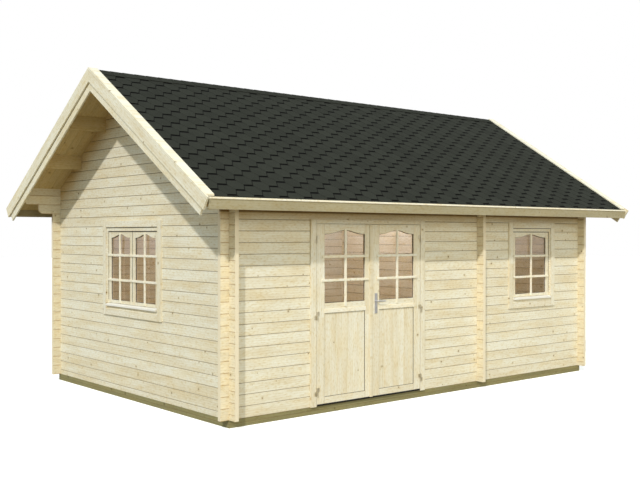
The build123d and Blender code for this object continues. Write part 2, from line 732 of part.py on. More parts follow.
# Windows: a frame with casings, a weather sill, sashes and their glass
CUT_LOW = course(SILL_COURSES)
CUT_HIGH = course(HEAD_COURSES)
CASING_LOW = CUT_LOW - CASING_UNDER_SILL
CASING_HIGH = CUT_HIGH + CASING_OVER_HEAD
FRAME_FOOT = CUT_LOW + FRAME_FOOT_DEPTH
FRAME_HEAD = CUT_HIGH - FRAME_HEAD_DEPTH
SILL_TOP = FRAME_FOOT + SILL_THICK
SASH_LOW = SILL_TOP + SASH_GAP
SASH_HIGH = FRAME_HEAD - SASH_GAP
GLASS_LOW = SASH_LOW + SASH_FOOT_RAIL
GLASS_SIDE = SASH_HIGH - SASH_TOP_RAIL


def window_frame(name, elevation, x_low, x_high):
    """Write the frame of one window on the given elevation."""
    side = CASING_WIDTH
    with BuildPart() as frame:
        slab(
            elevation(CORE_FRONT), x_low, x_high, CASING_LOW, CASING_HIGH, CASING_THICK
        )
        slab(
            elevation(LOG_THICK), x_low + CASING_LAP + FIT_GAP, x_high - CASING_LAP - FIT_GAP,
            CUT_LOW + FIT_GAP, CUT_HIGH - FIT_GAP, LOG_THICK - CORE_FRONT,
        )
        slab(
            elevation(CORE_FRONT - FRAME_STRIP_PROUD), x_low + side, x_high - side,
            CASING_LOW + BOTTOM_CASING, CASING_HIGH - HEAD_CASING, CASING_THICK, Mode.SUBTRACT,
        )
        slab(
            elevation(LOG_THICK), x_low + side + FRAME_STRIP, x_high - side - FRAME_STRIP,
            FRAME_FOOT, FRAME_HEAD, LOG_THICK + CASING_THICK, Mode.SUBTRACT,
        )
    save(frame, name)


def window_sashes(name, glass_name, elevation, x_low, x_high, count):
    """Write the sashes of one window, then their glass."""
    first = x_low + CASING_WIDTH + FRAME_STRIP + SEAT_GAP
    last = x_high - CASING_WIDTH - FRAME_STRIP - SEAT_GAP
    width = (last - first) / count
    back = SASH_THICK + SASH_SINK
    places = [(first + n * width, first + (n + 1) * width - SEAT_GAP) for n in range(count)]
    with BuildPart() as sashes:
        for low, high in places:
            slab(elevation(back), low, high, SASH_LOW, SASH_HIGH, SASH_THICK)
            arched(
                elevation(back), low + SASH_STILE, high - SASH_STILE, GLASS_LOW,
                GLASS_SIDE, ARCH_RISE, SASH_THICK, Mode.SUBTRACT,
            )
            arched(
                elevation(back), low + SASH_STILE - REBATE, high - SASH_STILE + REBATE,
                GLASS_LOW - REBATE, GLASS_SIDE + REBATE, ARCH_RISE,
                SASH_THICK - REBATE_LIP, Mode.SUBTRACT,
            )
    save(sashes, name)
    with BuildPart() as panes:
        glass_back = back - (SASH_THICK - REBATE_LIP) + SEAT_GAP + GLASS_THICK
        inset = SASH_STILE - REBATE + SEAT_GAP
        for low, high in places:
            arched(
                elevation(glass_back), low + inset, high - inset,
                GLASS_LOW - REBATE + SEAT_GAP, GLASS_SIDE + REBATE - SEAT_GAP,
                ARCH_RISE, GLASS_THICK,
            )
    save(panes, glass_name)


GABLE_HALF = GABLE_WINDOW_WIDTH / 2
window_frame("front_window_frame", front_plane, WINDOW_LEFT, WINDOW_RIGHT)
window_frame("gable_window_frame", gable_plane, -GABLE_HALF, GABLE_HALF)
window_sashes(
    "front_window_sash", "front_window_glass", front_plane, WINDOW_LEFT, WINDOW_RIGHT, 1
)
window_sashes(
    "gable_window_sashes", "gable_window_glass", gable_plane, -GABLE_HALF, GABLE_HALF, 2
)

with BuildPart() as window_sills:
    sills = (
        (front_plane, WINDOW_LEFT, WINDOW_RIGHT, FRONT),
        (gable_plane, -GABLE_HALF, GABLE_HALF, LEFT),
    )
    for elevation, x_low, x_high, wall in sills:
        inset = CASING_WIDTH + FRAME_STRIP + SEAT_GAP
        flat = elevation(0)
        start = flat.origin + flat.x_dir * (x_low + inset)
        with BuildSketch(Plane(origin=start, x_dir=-flat.z_dir, z_dir=flat.x_dir)) as profile:
            Polygon(
                (-SILL_PROUD, FRAME_FOOT + SEAT_GAP),
                (LOG_THICK, FRAME_FOOT + SEAT_GAP),
                (LOG_THICK, SILL_TOP),
                (SASH_SINK, SILL_TOP),
                (-SILL_PROUD, SILL_TOP - SILL_FALL),
                align=None,
            )
        extrude(amount=x_high - x_low - 2 * inset)
save(window_sills, "window_sills")
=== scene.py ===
"""Log cabin with a shingled gable roof, a pair of glazed doors and three glazed window openings.

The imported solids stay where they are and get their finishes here. Boards, shingles, bars, beads
and ironwork are built over them in metres, in the same frame.
"""

import math
import random

import bpy
import bmesh
from bpy.props import FloatProperty, FloatVectorProperty, PointerProperty
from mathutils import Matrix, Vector


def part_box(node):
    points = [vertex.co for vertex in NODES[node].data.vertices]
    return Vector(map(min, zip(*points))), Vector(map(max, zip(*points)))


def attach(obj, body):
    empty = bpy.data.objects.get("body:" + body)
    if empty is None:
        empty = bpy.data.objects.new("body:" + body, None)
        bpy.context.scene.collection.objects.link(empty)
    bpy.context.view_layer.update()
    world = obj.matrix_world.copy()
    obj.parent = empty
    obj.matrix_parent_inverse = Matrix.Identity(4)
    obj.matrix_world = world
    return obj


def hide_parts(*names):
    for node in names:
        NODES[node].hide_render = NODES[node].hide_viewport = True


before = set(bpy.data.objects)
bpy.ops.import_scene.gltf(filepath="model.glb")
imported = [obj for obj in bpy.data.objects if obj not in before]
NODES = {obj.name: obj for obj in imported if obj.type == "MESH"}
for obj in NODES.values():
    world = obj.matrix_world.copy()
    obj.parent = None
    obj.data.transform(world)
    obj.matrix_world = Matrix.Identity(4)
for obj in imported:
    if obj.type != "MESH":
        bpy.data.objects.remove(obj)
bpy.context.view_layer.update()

bl_info = {
    "name": "Log cabin finishes",
    "version": (1, 0, 0),
    "blender": (4, 5, 0),
    "location": "3D View > Sidebar > Cabin",
    "description": "Boards, shingles, glazing bars, ironwork and finishes of a small log cabin",
    "category": "Object",
}

# Log courses
COURSE = 0.114
FIRST_BED = 0.0783
CROSS_BED = FIRST_BED - COURSE / 2
PURLIN_STEP = 0.65
CORNERS = (2.9, 1.93)

# Roof planes, measured at the ridge
PITCH = math.radians(32.2)
COS, SIN, SLOPE = math.cos(PITCH), math.sin(PITCH), math.tan(PITCH)
RIDGE_GAP = 0.0002
RIDGE_MEET = 0.00015
COVER_THICK = 0.006
COVER_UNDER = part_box("roof_covering_front")[1].z + RIDGE_GAP * SLOPE - COVER_THICK / COS
DECK_THICK = 0.019
DECK_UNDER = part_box("roof_deck_front")[1].z + RIDGE_GAP * SLOPE - DECK_THICK / COS
DECK_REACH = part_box("roof_deck_front")[1].x
DECK_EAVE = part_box("roof_deck_rear")[1].y
COVER_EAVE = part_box("roof_covering_rear")[1].y
BARGE_WIDTH = 0.131

# Where tones change, each between two values: heights of the painted shade under the eaves and of the painted
# shadow line there, depths of painted shade under the gable roof, distances of drawn lines and painted
# shadows, and how squarely a face stands to an axis
EAVE_SHADE = (1.98, 2.13)
EAVE_SHADOW_LINE = (2.078, 2.094, 2.12, 2.14)
GABLE_SHADE = (0.02, 0.34)
BED_LINE = (0.0020, 0.0048)
GROOVE_LINE = (0.0008, 0.0024)
SHOULDER_LINE = (0.0004, 0.0011)
BARGE_SHADOW = (0.007, 0.004)
HEAD_SHADE, SIDE_SHADE = (0.028, 0.021), (0.005, 0.012)
FACING = (0.55, 0.85)

# Boards
BOARD_GAP = 0.0005
BOARD_EASE = 0.0012
HAIR = 0.0003
BEAD = 0.0098

# Door leaves; SPLIT is the height that tells upper rails from lower ones
DOOR_SPLIT = 1.0
STILE = 0.105
PANEL_SINK = 0.009
PANEL_LOW, PANEL_HIGH = 0.1703, 1.0453
PANE_LOW, PANE_SIDE = 1.1503, 1.8743
ARCH_RISE, ARCH_CROWN = 0.040, 0.42
DOOR_BARS = (1.3863, 1.6363)
# The dark strips round the panes are partly painted shade, and the dark strip under each leaf is a painted
# shadow of the gap
PANEL_BOARD, GASKET_AND_SHADE, SHADOW_SEAL_DROP, BAR_OVER = 0.0026, 0.0055, 0.0068, 0.012
REBATE = 0.01

# Window frames and sashes
WINDOW_SPLIT = 1.5
CASING_WIDTH, CASING_HEAD, STRIP_SUNK = 0.075, 0.072, 0.014
SASH_STILE = 0.06
SASH_PANE_LOW, SASH_PANE_SIDE, SASH_TOP = 1.1083, 1.8293, 1.9033
FRONT_BARS = (1.3263, 1.5933)
GABLE_BARS = (1.3423, 1.6283)


def paint(code):
    """Linear colour of a six-figure hexadecimal tone."""
    parts = [int(code[n:n + 2], 16) / 255 for n in (0, 2, 4)]
    return tuple(p / 12.92 if p <= 0.04045 else ((p + 0.055) / 1.055) ** 2.4 for p in parts)


def deeper(tone, by=0.8):
    """A darker tone of the same colour."""
    return tuple(c * by for c in tone)


def tint(name, description, code):
    """A colour that a user would change."""
    return FloatVectorProperty(
        name=name, description=description, subtype="COLOR", size=3, min=0.0, max=1.0, default=paint(code)
    )


def length(name, description, default):
    """A length in metres that a user would change."""
    return FloatProperty(
        name=name, description=description, default=default, min=0.0, unit="LENGTH", precision=4
    )


def amount(name, description, default):
    """A plain number that a user would change."""
    return FloatProperty(name=name, description=description, default=default, min=0.0)


class CabinTimber(bpy.types.PropertyGroup):
    """Tones and knots of the sawn timber."""

    pale: tint("Pale wood", "Early wood of the pine logs", "ede9d6")
    deep: tint("Deep wood", "Late wood and streaks of the pine logs", "d9caa6")
    knot: tint("Knots", "Heart of a knot", "7c6342")
    corner: tint("Corner logs", "Logs past the corner joints", "f0e5c7")
    bed: tint("Bed lines", "Lines between the courses", "7b6440")
    corner_bed: tint("Corner bed lines", "Lines between the logs past the corner joints", "b48f55")
    log_end: tint("Log ends", "Sawn ends of the logs", "f3e6c8")
    roof: tint("Roof timber", "Early wood of purlins and roof boards", "cfb885")
    fascia: tint("Fascia", "Boards along the eaves", "a99f80")
    lath: tint("Eave laths", "Pale laths on the fascia", "f7f0dc")
    treated: tint("Treated timber", "Beams under the walls", "989166")
    floor: tint("Floor boards", "Planed boards of both rooms", "e3cd9a")
    knot_spacing: length("Knot spacing", "Usual distance between knots along a log", 0.30)
    knot_size: length("Knot size", "Radius of a large knot", 0.009)
    floor_board: length("Floor board width", "Cover width of one floor board", 0.0875)
    roof_board: length("Roof board width", "Cover width of one roof board", 0.0946)


class CabinRoof(bpy.types.PropertyGroup):
    """Sizes and tones of the shingles."""

    shingle: tint("Shingles", "Mineral granules of the shingles", "2e302a")
    tab_pitch: length("Tab pitch", "Distance between tabs of one row", 0.30)
    tab_foot: length("Tab foot", "Width of the straight lower edge of a tab", 0.10)
    exposure: length("Exposure", "Height of one row up the slope", 0.0985)
    first_row: length("First row", "Lowest full tab above the eaves", 0.0445)
    ridge_exposure: length("Ridge exposure", "Visible length of one ridge piece", 0.15)


class CabinJoinery(bpy.types.PropertyGroup):
    """Sizes and tones of doors and windows."""

    bar_width: length("Upright bar width", "Face width of an upright glazing bar", 0.031)
    bar_level: length("Level bar width", "Face width of a level glazing bar", 0.028)
    bar_thick: length("Bar thickness", "How far a glazing bar stands off the leaf", 0.015)
    bar_lap: length("Bar lap", "How far a glazing bar runs over the stiles", 0.040)
    panel_board: length("Panel board width", "Cover width of one board of a door panel", 0.082)
    pale: tint("Joinery wood", "Planed pine of doors and windows", "ebe6d3")
    sill: tint("Sills", "Primed window sills", "efece2")
    glass: tint("Glass", "Tone of the panes", "efe3e5")
    bar: tint("Glazing bars", "Planed pine of the glazing bars", "f3edda")
    # Dark strips round panes and panels, under the head casings, round the sashes and under the door leaves:
    # partly real weatherstrips, partly painted shade in the reveals, recesses and gaps
    gasket: tint("Glazing gasket", "Dark strip round the panes", "3a2d1d")
    metal: tint("Handles", "Brushed handle metal", "dcdde2")
    zinc: tint("Hinges", "Plated hinge steel", "e6dec6")


class CabinStage(bpy.types.PropertyGroup):
    """Floor, lights and camera."""

    floor: tint("Floor", "Pale studio floor", "f6f6f4")
    bounce: tint("Floor bounce", "Tone of the light that the floor gives back", "877f69")
    sun: amount("Key light", "Strength of the key light", 2.15)
    fill: amount("Fill light", "Strength of the broad front light", 600.0)
    room: amount("Room light", "Strength of the soft light under the roof", 52.0)
    sky: amount("Surroundings", "Strength of the pale surroundings", 0.74)
    glow: amount("Floor glow", "How much the floor is lifted towards white for the eye", 0.42)
    lens: FloatProperty(
        name="Lens", description="Focal length on a 36 mm wide sensor", default=50.95, min=1.0, unit="CAMERA"
    )


class Pile:
    """Like pieces gathered into one mesh, each with its own tone and its own run of grain."""

    def __init__(self, seed):
        self.draw = random.Random(seed)
        self.points, self.grain, self.tones, self.faces, self.finish = [], [], [], [], []

    def add(self, points, faces, grain, finish=None, moved=True):
        first = len(self.points)
        shift = Vector((self.draw.uniform(0, 40), self.draw.uniform(0, 9), self.draw.uniform(0, 9))) * moved
        tone = self.draw.uniform(-1, 1)
        self.points += [Vector(p) for p in points]
        self.grain += [Vector(g) + shift for g in grain]
        self.tones += [tone] * len(points)
        self.faces += [[first + n for n in face] for face in faces]
        self.finish += finish or [0] * len(faces)

    def rings(self, rings, grain, closed=False, capped=True):
        """Skin over rings of equal count."""
        count = len(rings[0])
        pairs = list(zip(range(len(rings) - 1), range(1, len(rings))))
        if closed:
            pairs.append((len(rings) - 1, 0))
        faces = [
            (a * count + n, a * count + (n + 1) % count, b * count + (n + 1) % count, b * count + n)
            for a, b in pairs for n in range(count)
        ]
        if capped and not closed:
            last = (len(rings) - 1) * count
            faces += [tuple(range(count))[::-1], tuple(range(last, last + count))]
        self.add([p for ring in rings for p in ring], faces, [g for ring in grain for g in ring])

    def bar(self, start, end, side, out, section):
        """A straight piece; section is drawn in pairs, across and outward."""
        start, end, side, out = Vector(start), Vector(end), Vector(side), Vector(out)
        reach = (end - start).length
        self.rings(
            [[foot + side * s + out * t for s, t in section] for foot in (start, end)],
            [[(run, s, t) for s, t in section] for run in (0, reach)],
        )

    def bead(self, path, out, section):
        """A moulding round a closed flat path, mitred at each corner."""
        rings, grain, run = [], [], 0.0
        for n, point in enumerate(path):
            before, after = path[n - 1], path[(n + 1) % len(path)]
            turn_in, turn_out = (point - before).normalized(), (after - point).normalized()
            side_in, side_out = out.cross(turn_in), out.cross(turn_out)
            mitre = (side_in + side_out) / (1 + side_in.dot(side_out))
            rings.append([point + mitre * s + out * t for s, t in section])
            grain.append([(run, s, t) for s, t in section])
            run += (after - point).length
        self.rings(rings, grain, closed=True)

    def tube(self, path, sizes, steps, up):
        """A round or flattened rod along a path; sizes are half widths across and along up."""
        rings, grain, run = [], [], 0.0
        for n, point in enumerate(path):
            before, after = path[max(n - 1, 0)], path[min(n + 1, len(path) - 1)]
            ahead = (after - before).normalized()
            side = ahead.cross(up).normalized()
            rise = side.cross(ahead)
            across, high = sizes[n]
            angles = [2 * math.pi * k / steps for k in range(steps)]
            rings.append([point + side * across * math.cos(a) + rise * high * math.sin(a) for a in angles])
            grain.append([(run, across * math.cos(a), high * math.sin(a)) for a in angles])
            run += (after - point).length
        self.rings(rings, grain)

    def turned(self, centre, out, outline, steps):
        """A turned piece; outline is in pairs, radius and height along out."""
        centre, out = Vector(centre), Vector(out)
        side = out.orthogonal().normalized()
        rise = out.cross(side)
        angles = [2 * math.pi * k / steps for k in range(steps)]
        rings = [
            [centre + out * h + (side * math.cos(a) + rise * math.sin(a)) * r for a in angles]
            for r, h in outline
        ]
        self.rings(rings, [[p - centre for p in ring] for ring in rings])

    def mark(self, first, finish):
        """Give one finish to the faces from the first on."""
        self.finish[first:] = [finish] * (len(self.faces) - first)

    def piece(self, name, finishes, body, slot, smooth=None):
        """The finished object, riding on its body."""
        mesh = bpy.data.meshes.new(name)
        mesh.from_pydata(self.points, [], self.faces)
        mesh.attributes.new("grain", "FLOAT_VECTOR", "POINT").data.foreach_set(
            "vector", [c for g in self.grain for c in g]
        )
        mesh.attributes.new("tone", "FLOAT", "POINT").data.foreach_set("value", self.tones)
        for finish in finishes:
            mesh.materials.append(finish)
        mesh.polygons.foreach_set("material_index", self.finish)
        work = bmesh.new()
        work.from_mesh(mesh)
        bmesh.ops.recalc_face_normals(work, faces=work.faces)
        work.to_mesh(mesh)
        work.free()
        if smooth:
            mesh.shade_smooth()
            mesh.set_sharp_from_angle(angle=smooth)
        else:
            mesh.shade_flat()
        made = bpy.data.objects.new(name, mesh)
        bpy.context.scene.collection.objects.link(made)
        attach(made, body)
        return made


class Shade:
    """Nodes of one material or group, placed and joined in order."""

    def __init__(self, tree):
        self.tree = tree

    def feed(self, socket, value):
        if isinstance(value, bpy.types.NodeSocket):
            self.tree.links.new(value, socket)
        elif socket.type == "RGBA" and len(value) == 3:
            socket.default_value = (*value, 1.0)
        else:
            socket.default_value = value

    def add(self, kind, inputs=None, **settings):
        node = self.tree.nodes.new("ShaderNode" + kind)
        for key, value in settings.items():
            setattr(node, key, value)
        for key, value in (inputs or {}).items():
            self.feed(node.inputs[key], value)
        return node

    def math(self, operation, *values, clamp=False):
        node = self.add("Math", operation=operation, use_clamp=clamp)
        for socket, value in zip(node.inputs, values):
            self.feed(socket, value)
        return node.outputs[0]

    def times(self, *values):
        return self.math("MULTIPLY", *values)

    def plus(self, *values):
        return self.math("ADD", *values)

    def less(self, *values):
        return self.math("SUBTRACT", *values)

    def scaled(self, value, by, shift):
        return self.math("MULTIPLY_ADD", value, by, shift)

    def size(self, value):
        return self.math("ABSOLUTE", value)

    def above(self, value, limit):
        return self.math("GREATER_THAN", value, limit)

    def step(self, value, low, high, at_low=0.0, at_high=1.0):
        """A soft step from one value to another."""
        node = self.add("MapRange", interpolation_type="SMOOTHSTEP")
        for socket, given in zip(node.inputs, (value, low, high, at_low, at_high)):
            self.feed(socket, given)
        return node.outputs[0]

    def blend(self, factor, first, second, mode="MIX"):
        node = self.add("Mix", data_type="RGBA", blend_type=mode)
        for index, value in ((0, factor), (6, first), (7, second)):
            self.feed(node.inputs[index], value)
        return node.outputs[2]

    def split(self, vector):
        return self.add("SeparateXYZ", {"Vector": vector}).outputs

    def join(self, x, y, z):
        return self.add("CombineXYZ", {"X": x, "Y": y, "Z": z}).outputs[0]

    def stretched(self, vector, *by):
        """A place scaled by its own number along each axis."""
        return self.add("VectorMath", {0: vector, 1: by}, operation="MULTIPLY").outputs[0]

    def noise(self, vector, scale=1.0, detail=2.0, roughness=0.5):
        given = {"Vector": vector, "Scale": scale, "Detail": detail, "Roughness": roughness}
        return self.add("TexNoise", given).outputs["Fac"]

    def lot(self, number):
        """What a numbered piece draws: a share from 0 to 1 and a tone from -1 to 1."""
        share, colour = self.add("TexWhiteNoise", {"W": number}, noise_dimensions="1D").outputs
        return share, self.scaled(self.split(colour)[1], 2.0, -1.0)

    def dimmed(self, tone, light):
        """A colour times a value that changes over the surface."""
        return self.blend(1.0, tone, self.join(light, light, light), "MULTIPLY")

    def relief(self, shader, height, strength, distance):
        bump = self.add("Bump", {"Height": height, "Strength": strength, "Distance": distance})
        self.feed(shader.inputs["Normal"], bump.outputs[0])

    def group(self, tree, inputs):
        node = self.add("Group", node_tree=tree)
        for key, value in inputs.items():
            self.feed(node.inputs[key], value)
        return node.outputs

    def object_place(self):
        """Place in the shared frame and the face's direction, both carried along by the piece."""
        node = self.add("TexCoord")
        return node.outputs["Object"], node.outputs["Normal"]


def new_finish(name):
    """A plain material, the shade to fill it and its shader."""
    material = bpy.data.materials.new(name)
    material.use_nodes = True
    return material, Shade(material.node_tree), material.node_tree.nodes["Principled BSDF"]


def new_group(name, inputs, outputs):
    """An empty node group with named sockets, and the shade to fill it."""
    tree = bpy.data.node_groups.new(name, "ShaderNodeTree")
    for title, kind, default in inputs:
        socket = tree.interface.new_socket(title, in_out="INPUT", socket_type="NodeSocket" + kind)
        if default is not None:
            socket.default_value = (*default, 1.0) if kind == "Color" else default
    for title, kind in outputs:
        tree.interface.new_socket(title, in_out="OUTPUT", socket_type="NodeSocket" + kind)
    shade = Shade(tree)
    given = tree.nodes.new("NodeGroupInput").outputs
    result = tree.nodes.new("NodeGroupOutput").inputs
    return tree, shade, given, result


def pine_grain():
    """Rings, fibres and knots of sawn pine; the grain runs along X of the position."""
    if "Pine Grain" in bpy.data.node_groups:
        return bpy.data.node_groups["Pine Grain"]
    tree, s, given, result = new_group(
        "Pine Grain",
        (
            ("Position", "Vector", None), ("Tone", "Float", 0.0), ("Pale", "Color", paint("efe4c4")),
            ("Deep", "Color", paint("dfcb9a")), ("Knot", "Color", paint("8a6340")),
            ("Knot Spacing", "Float", 0.3), ("Knot Size", "Float", 0.01),
        ),
        (("Color", "Color"), ("Height", "Float"), ("Roughness", "Float")),
    )
    place, cell_high = given["Position"], 0.1
    along, across, _ = s.split(place)
    cell_x = s.math("DIVIDE", along, given["Knot Spacing"])
    cell_y = s.math("DIVIDE", across, cell_high)
    cells = s.add(
        "TexVoronoi", {"Vector": s.join(cell_x, cell_y, 0.0), "Scale": 1.0, "Randomness": 0.9},
        voronoi_dimensions="2D",
    ).outputs
    heart_x, heart_y, _ = s.split(cells["Position"])
    luck, size, warmth = s.split(cells["Color"])
    off_x = s.times(s.less(cell_x, heart_x), given["Knot Spacing"])
    off_y = s.times(s.less(cell_y, heart_y), cell_high)
    away = s.math("SQRT", s.plus(s.math("POWER", off_x, 2.0), s.math("POWER", off_y, 2.0)))
    present = s.above(luck, 0.76)
    radius = s.times(given["Knot Size"], s.step(size, 0.0, 1.0, 0.35, 1.0))
    ragged = s.noise(s.stretched(place, 90.0, 90.0, 1.0), 1.0, 1.0)
    near = s.times(s.math("DIVIDE", away, radius), s.scaled(ragged, 1.1, 0.45))
    knot = s.times(present, s.step(near, 0.75, 1.15, 1.0, 0.0))
    halo = s.times(present, s.step(near, 0.8, 3.6, 1.0, 0.0))
    cloud = s.noise(s.stretched(place, 1.8, 14.0, 14.0), 1.0, 3.0)
    wander = s.noise(s.stretched(place, 0.5, 3.0, 3.0), 1.0, 2.0)
    phase = s.plus(s.plus(s.times(across, 260.0), s.times(wander, 26.0)), s.times(halo, 5.0))
    late = s.math("POWER", s.scaled(s.math("SINE", phase), 0.5, 0.5), 3.0)
    fibre = s.noise(s.stretched(place, 7.0, 520.0, 520.0), 1.0, 2.0)
    streak = s.step(cloud, 0.32, 0.72)
    drawn = s.scaled(fibre, 0.22, s.scaled(given["Tone"], 0.14, -0.06))
    deepness = s.math("ADD", s.scaled(streak, 0.46, s.times(late, 0.26)), drawn, clamp=True)
    patch = s.noise(s.stretched(place, 3.4, 7.0, 1.0), 1.0, 3.0)
    sappy = s.times(s.step(patch, 0.42, 0.68), 0.42)
    wood = s.blend(sappy, s.blend(deepness, given["Pale"], given["Deep"]), (1.0, 0.915, 0.74), "MULTIPLY")
    speck = s.noise(s.stretched(place, 26.0, 62.0, 1.0), 1.0, 2.0)
    wood = s.blend(s.times(s.step(speck, 0.50, 0.70), 0.85), wood, (0.90, 0.84, 0.70), "MULTIPLY")
    wood = s.blend(s.times(s.step(speck, 0.46, 0.28), 0.9), wood, (1.05, 1.06, 1.10), "MULTIPLY")
    warm = s.blend(s.times(halo, 0.5), wood, given["Deep"], "MULTIPLY")
    spot = s.blend(s.times(knot, s.step(warmth, 0.0, 1.0, 0.55, 1.0)), warm, given["Knot"])
    s.feed(result["Color"], spot)
    s.feed(result["Height"], s.less(s.scaled(fibre, 0.35, 0.5), s.scaled(late, 0.25, s.times(knot, 0.3))))
    s.feed(result["Roughness"], s.scaled(late, -0.08, s.scaled(knot, -0.12, 0.66)))
    return tree


def log_courses():
    """Finds the course of a log wall, gives each log its own grain and tone, and marks its bed line."""
    if "Log Courses" in bpy.data.node_groups:
        return bpy.data.node_groups["Log Courses"]
    tree, s, given, result = new_group(
        "Log Courses",
        (
            ("Along", "Float", 0.0), ("Depth", "Float", 0.0), ("Height", "Float", 0.0),
            ("First Bed", "Float", FIRST_BED), ("Course", "Float", COURSE), ("Wall", "Float", 0.0),
        ),
        (("Position", "Vector"), ("Tone", "Float"), ("Bed", "Float"), ("Middle", "Float")),
    )
    risen = s.math("DIVIDE", s.less(given["Height"], given["First Bed"]), given["Course"])
    number = s.math("FLOOR", risen)
    above = s.times(s.less(risen, number), given["Course"])
    lot = s.scaled(given["Wall"], 57.0, number)
    own, tone = s.lot(lot)
    shift = s.times(own, 37.0)
    s.feed(result["Position"], s.join(
        s.plus(given["Along"], shift),
        s.plus(above, s.times(number, 0.31)),
        s.plus(given["Depth"], shift),
    ))
    s.feed(result["Tone"], tone)
    s.feed(result["Bed"], s.step(above, *BED_LINE, 1.0, 0.0))
    s.feed(result["Middle"], s.less(above, s.times(given["Course"], 0.5)))
    return tree


def end_grain():
    """Sawn end of a log: rings about its heart, with fine checks."""
    if "End Grain" in bpy.data.node_groups:
        return bpy.data.node_groups["End Grain"]
    tree, s, given, result = new_group(
        "End Grain",
        (
            ("Across", "Float", 0.0), ("Up", "Float", 0.0), ("Tone", "Float", 0.0),
            ("Pale", "Color", paint("ecd39c")), ("Deep", "Color", paint("c9a468")),
        ),
        (("Color", "Color"), ("Height", "Float")),
    )
    low = s.scaled(given["Tone"], 0.02, s.plus(given["Up"], 0.03))
    away = s.math("SQRT", s.plus(s.math("POWER", given["Across"], 2.0), s.math("POWER", low, 2.0)))
    place = s.join(given["Across"], low, given["Tone"])
    wobble = s.noise(s.stretched(place, 30.0, 30.0, 1.0))
    ring = s.scaled(s.math("SINE", s.scaled(away, 1500.0, s.times(wobble, 9.0))), 0.5, 0.5)
    rough = s.noise(s.stretched(place, 600.0, 600.0, 0.0))
    dark = s.math("MULTIPLY_ADD", ring, 0.35, s.times(rough, 0.35), clamp=True)
    s.feed(result["Color"], s.blend(dark, given["Pale"], given["Deep"]))
    s.feed(result["Height"], s.less(rough, s.times(ring, 0.5)))
    return tree


def frame_members():
    """Tells uprights from rails in a flat frame, turns the grain to suit, and marks the shoulder lines."""
    if "Frame Members" in bpy.data.node_groups:
        return bpy.data.node_groups["Frame Members"]
    tree, s, given, result = new_group(
        "Frame Members",
        (
            ("Across", "Float", 0.0), ("Height", "Float", 0.0), ("Depth", "Float", 0.0),
            ("Centre", "Float", 0.0), ("Pair Shift", "Float", 0.0), ("Inner Half", "Float", 0.5),
            ("Middle Height", "Float", 1.2),
        ),
        (("Position", "Vector"), ("Tone", "Float"), ("Shoulder", "Float")),
    )
    off = s.less(given["Across"], given["Centre"])
    side = s.size(s.less(s.size(off), given["Pair Shift"]))
    upright = s.above(side, given["Inner Half"])
    high = s.above(given["Height"], given["Middle Height"])
    right = s.above(off, 0.0)
    outer = s.above(s.size(off), given["Pair Shift"])
    paired = s.above(given["Pair Shift"], 0.0)
    right = s.times(right, s.math("MAXIMUM", upright, paired))
    lot = s.plus(s.scaled(right, 3.0, s.times(outer, 7.0)),
                 s.scaled(upright, 19.0, s.times(s.less(high, upright), 11.0)))
    own, tone = s.lot(lot)
    shift = s.times(own, 31.0)
    rail = s.join(s.plus(given["Across"], shift), given["Height"], given["Depth"])
    post = s.join(s.plus(given["Height"], shift), given["Across"], given["Depth"])
    pick = s.add("Mix", data_type="VECTOR")
    for index, value in ((0, upright), (4, rail), (5, post)):
        s.feed(pick.inputs[index], value)
    s.feed(result["Position"], pick.outputs[1])
    s.feed(result["Tone"], tone)
    line = s.size(s.less(side, given["Inner Half"]))
    s.feed(result["Shoulder"], s.step(line, *SHOULDER_LINE, 1.0, 0.0))
    return tree


def painted_roof_shade(s, axis):
    """Painted shade by how far a face along X or Y lies in under the roof, and a painted shadow line right
    below the eaves.
    """
    _, y, z = s.split(s.object_place()[0])
    if axis == 0:
        outside = s.above(s.size(y), CORNERS[1] - 0.02)
        deep = s.less(s.step(z, *EAVE_SHADOW_LINE[:2]), s.step(z, *EAVE_SHADOW_LINE[2:]))
        return s.times(outside, s.step(z, *EAVE_SHADE)), s.times(outside, deep)
    fall = s.scaled(s.size(y), SLOPE, z)
    return s.step(s.less(DECK_UNDER, fall), *GABLE_SHADE, 1.0, 0.0), 0.0


def finish_pine(name, place, tones=None, bump=0.3, shade=None):
    """A pine finish; place gives the grain position, the tone, the joint lines and the sawn ends."""
    timber = bpy.context.scene.cabin_timber
    material, s, shader = new_finish(name)
    position, tone, line, ends = place(s)
    pale, deep = (tuple(colour) for colour in tones or (timber.pale, timber.deep))
    if ends is not None:
        corner = tuple(timber.corner)
        pale = s.blend(ends[3], pale, corner)
        deep = s.blend(ends[3], deep, deeper(corner))
    grain = s.group(pine_grain(), {
        "Position": position, "Tone": tone, "Pale": pale, "Deep": deep,
        "Knot": tuple(timber.knot), "Knot Spacing": timber.knot_spacing, "Knot Size": timber.knot_size,
    })
    colour, height = grain["Color"], grain["Height"]
    if ends is not None:
        mask, across, up, _ = ends
        sawn = s.group(end_grain(), {
            "Across": across, "Up": up, "Tone": tone, "Pale": tuple(timber.log_end),
            "Deep": deeper(timber.log_end, 0.82),
        })
        colour = s.blend(mask, colour, sawn["Color"])
    if shade is not None:
        # Painted shade under the roof and a painted shadow line below the eaves, multiplied into the wood
        near, deep = painted_roof_shade(s, shade)
        colour = s.blend(near, colour, (0.78, 0.63, 0.42), "MULTIPLY")
        colour = s.blend(deep, colour, (0.40, 0.34, 0.25), "MULTIPLY")
    if line is not None:
        bed = tuple(timber.bed)
        if ends is not None:
            bed = s.blend(ends[3], bed, tuple(timber.corner_bed))
        colour = s.blend(line, colour, bed)
        height = s.less(height, line)
    s.feed(shader.inputs["Base Color"], colour)
    s.feed(shader.inputs["Roughness"], grain["Roughness"])
    shader.inputs["Specular IOR Level"].default_value = 0.3
    s.relief(shader, height, bump, 0.0015)
    return material


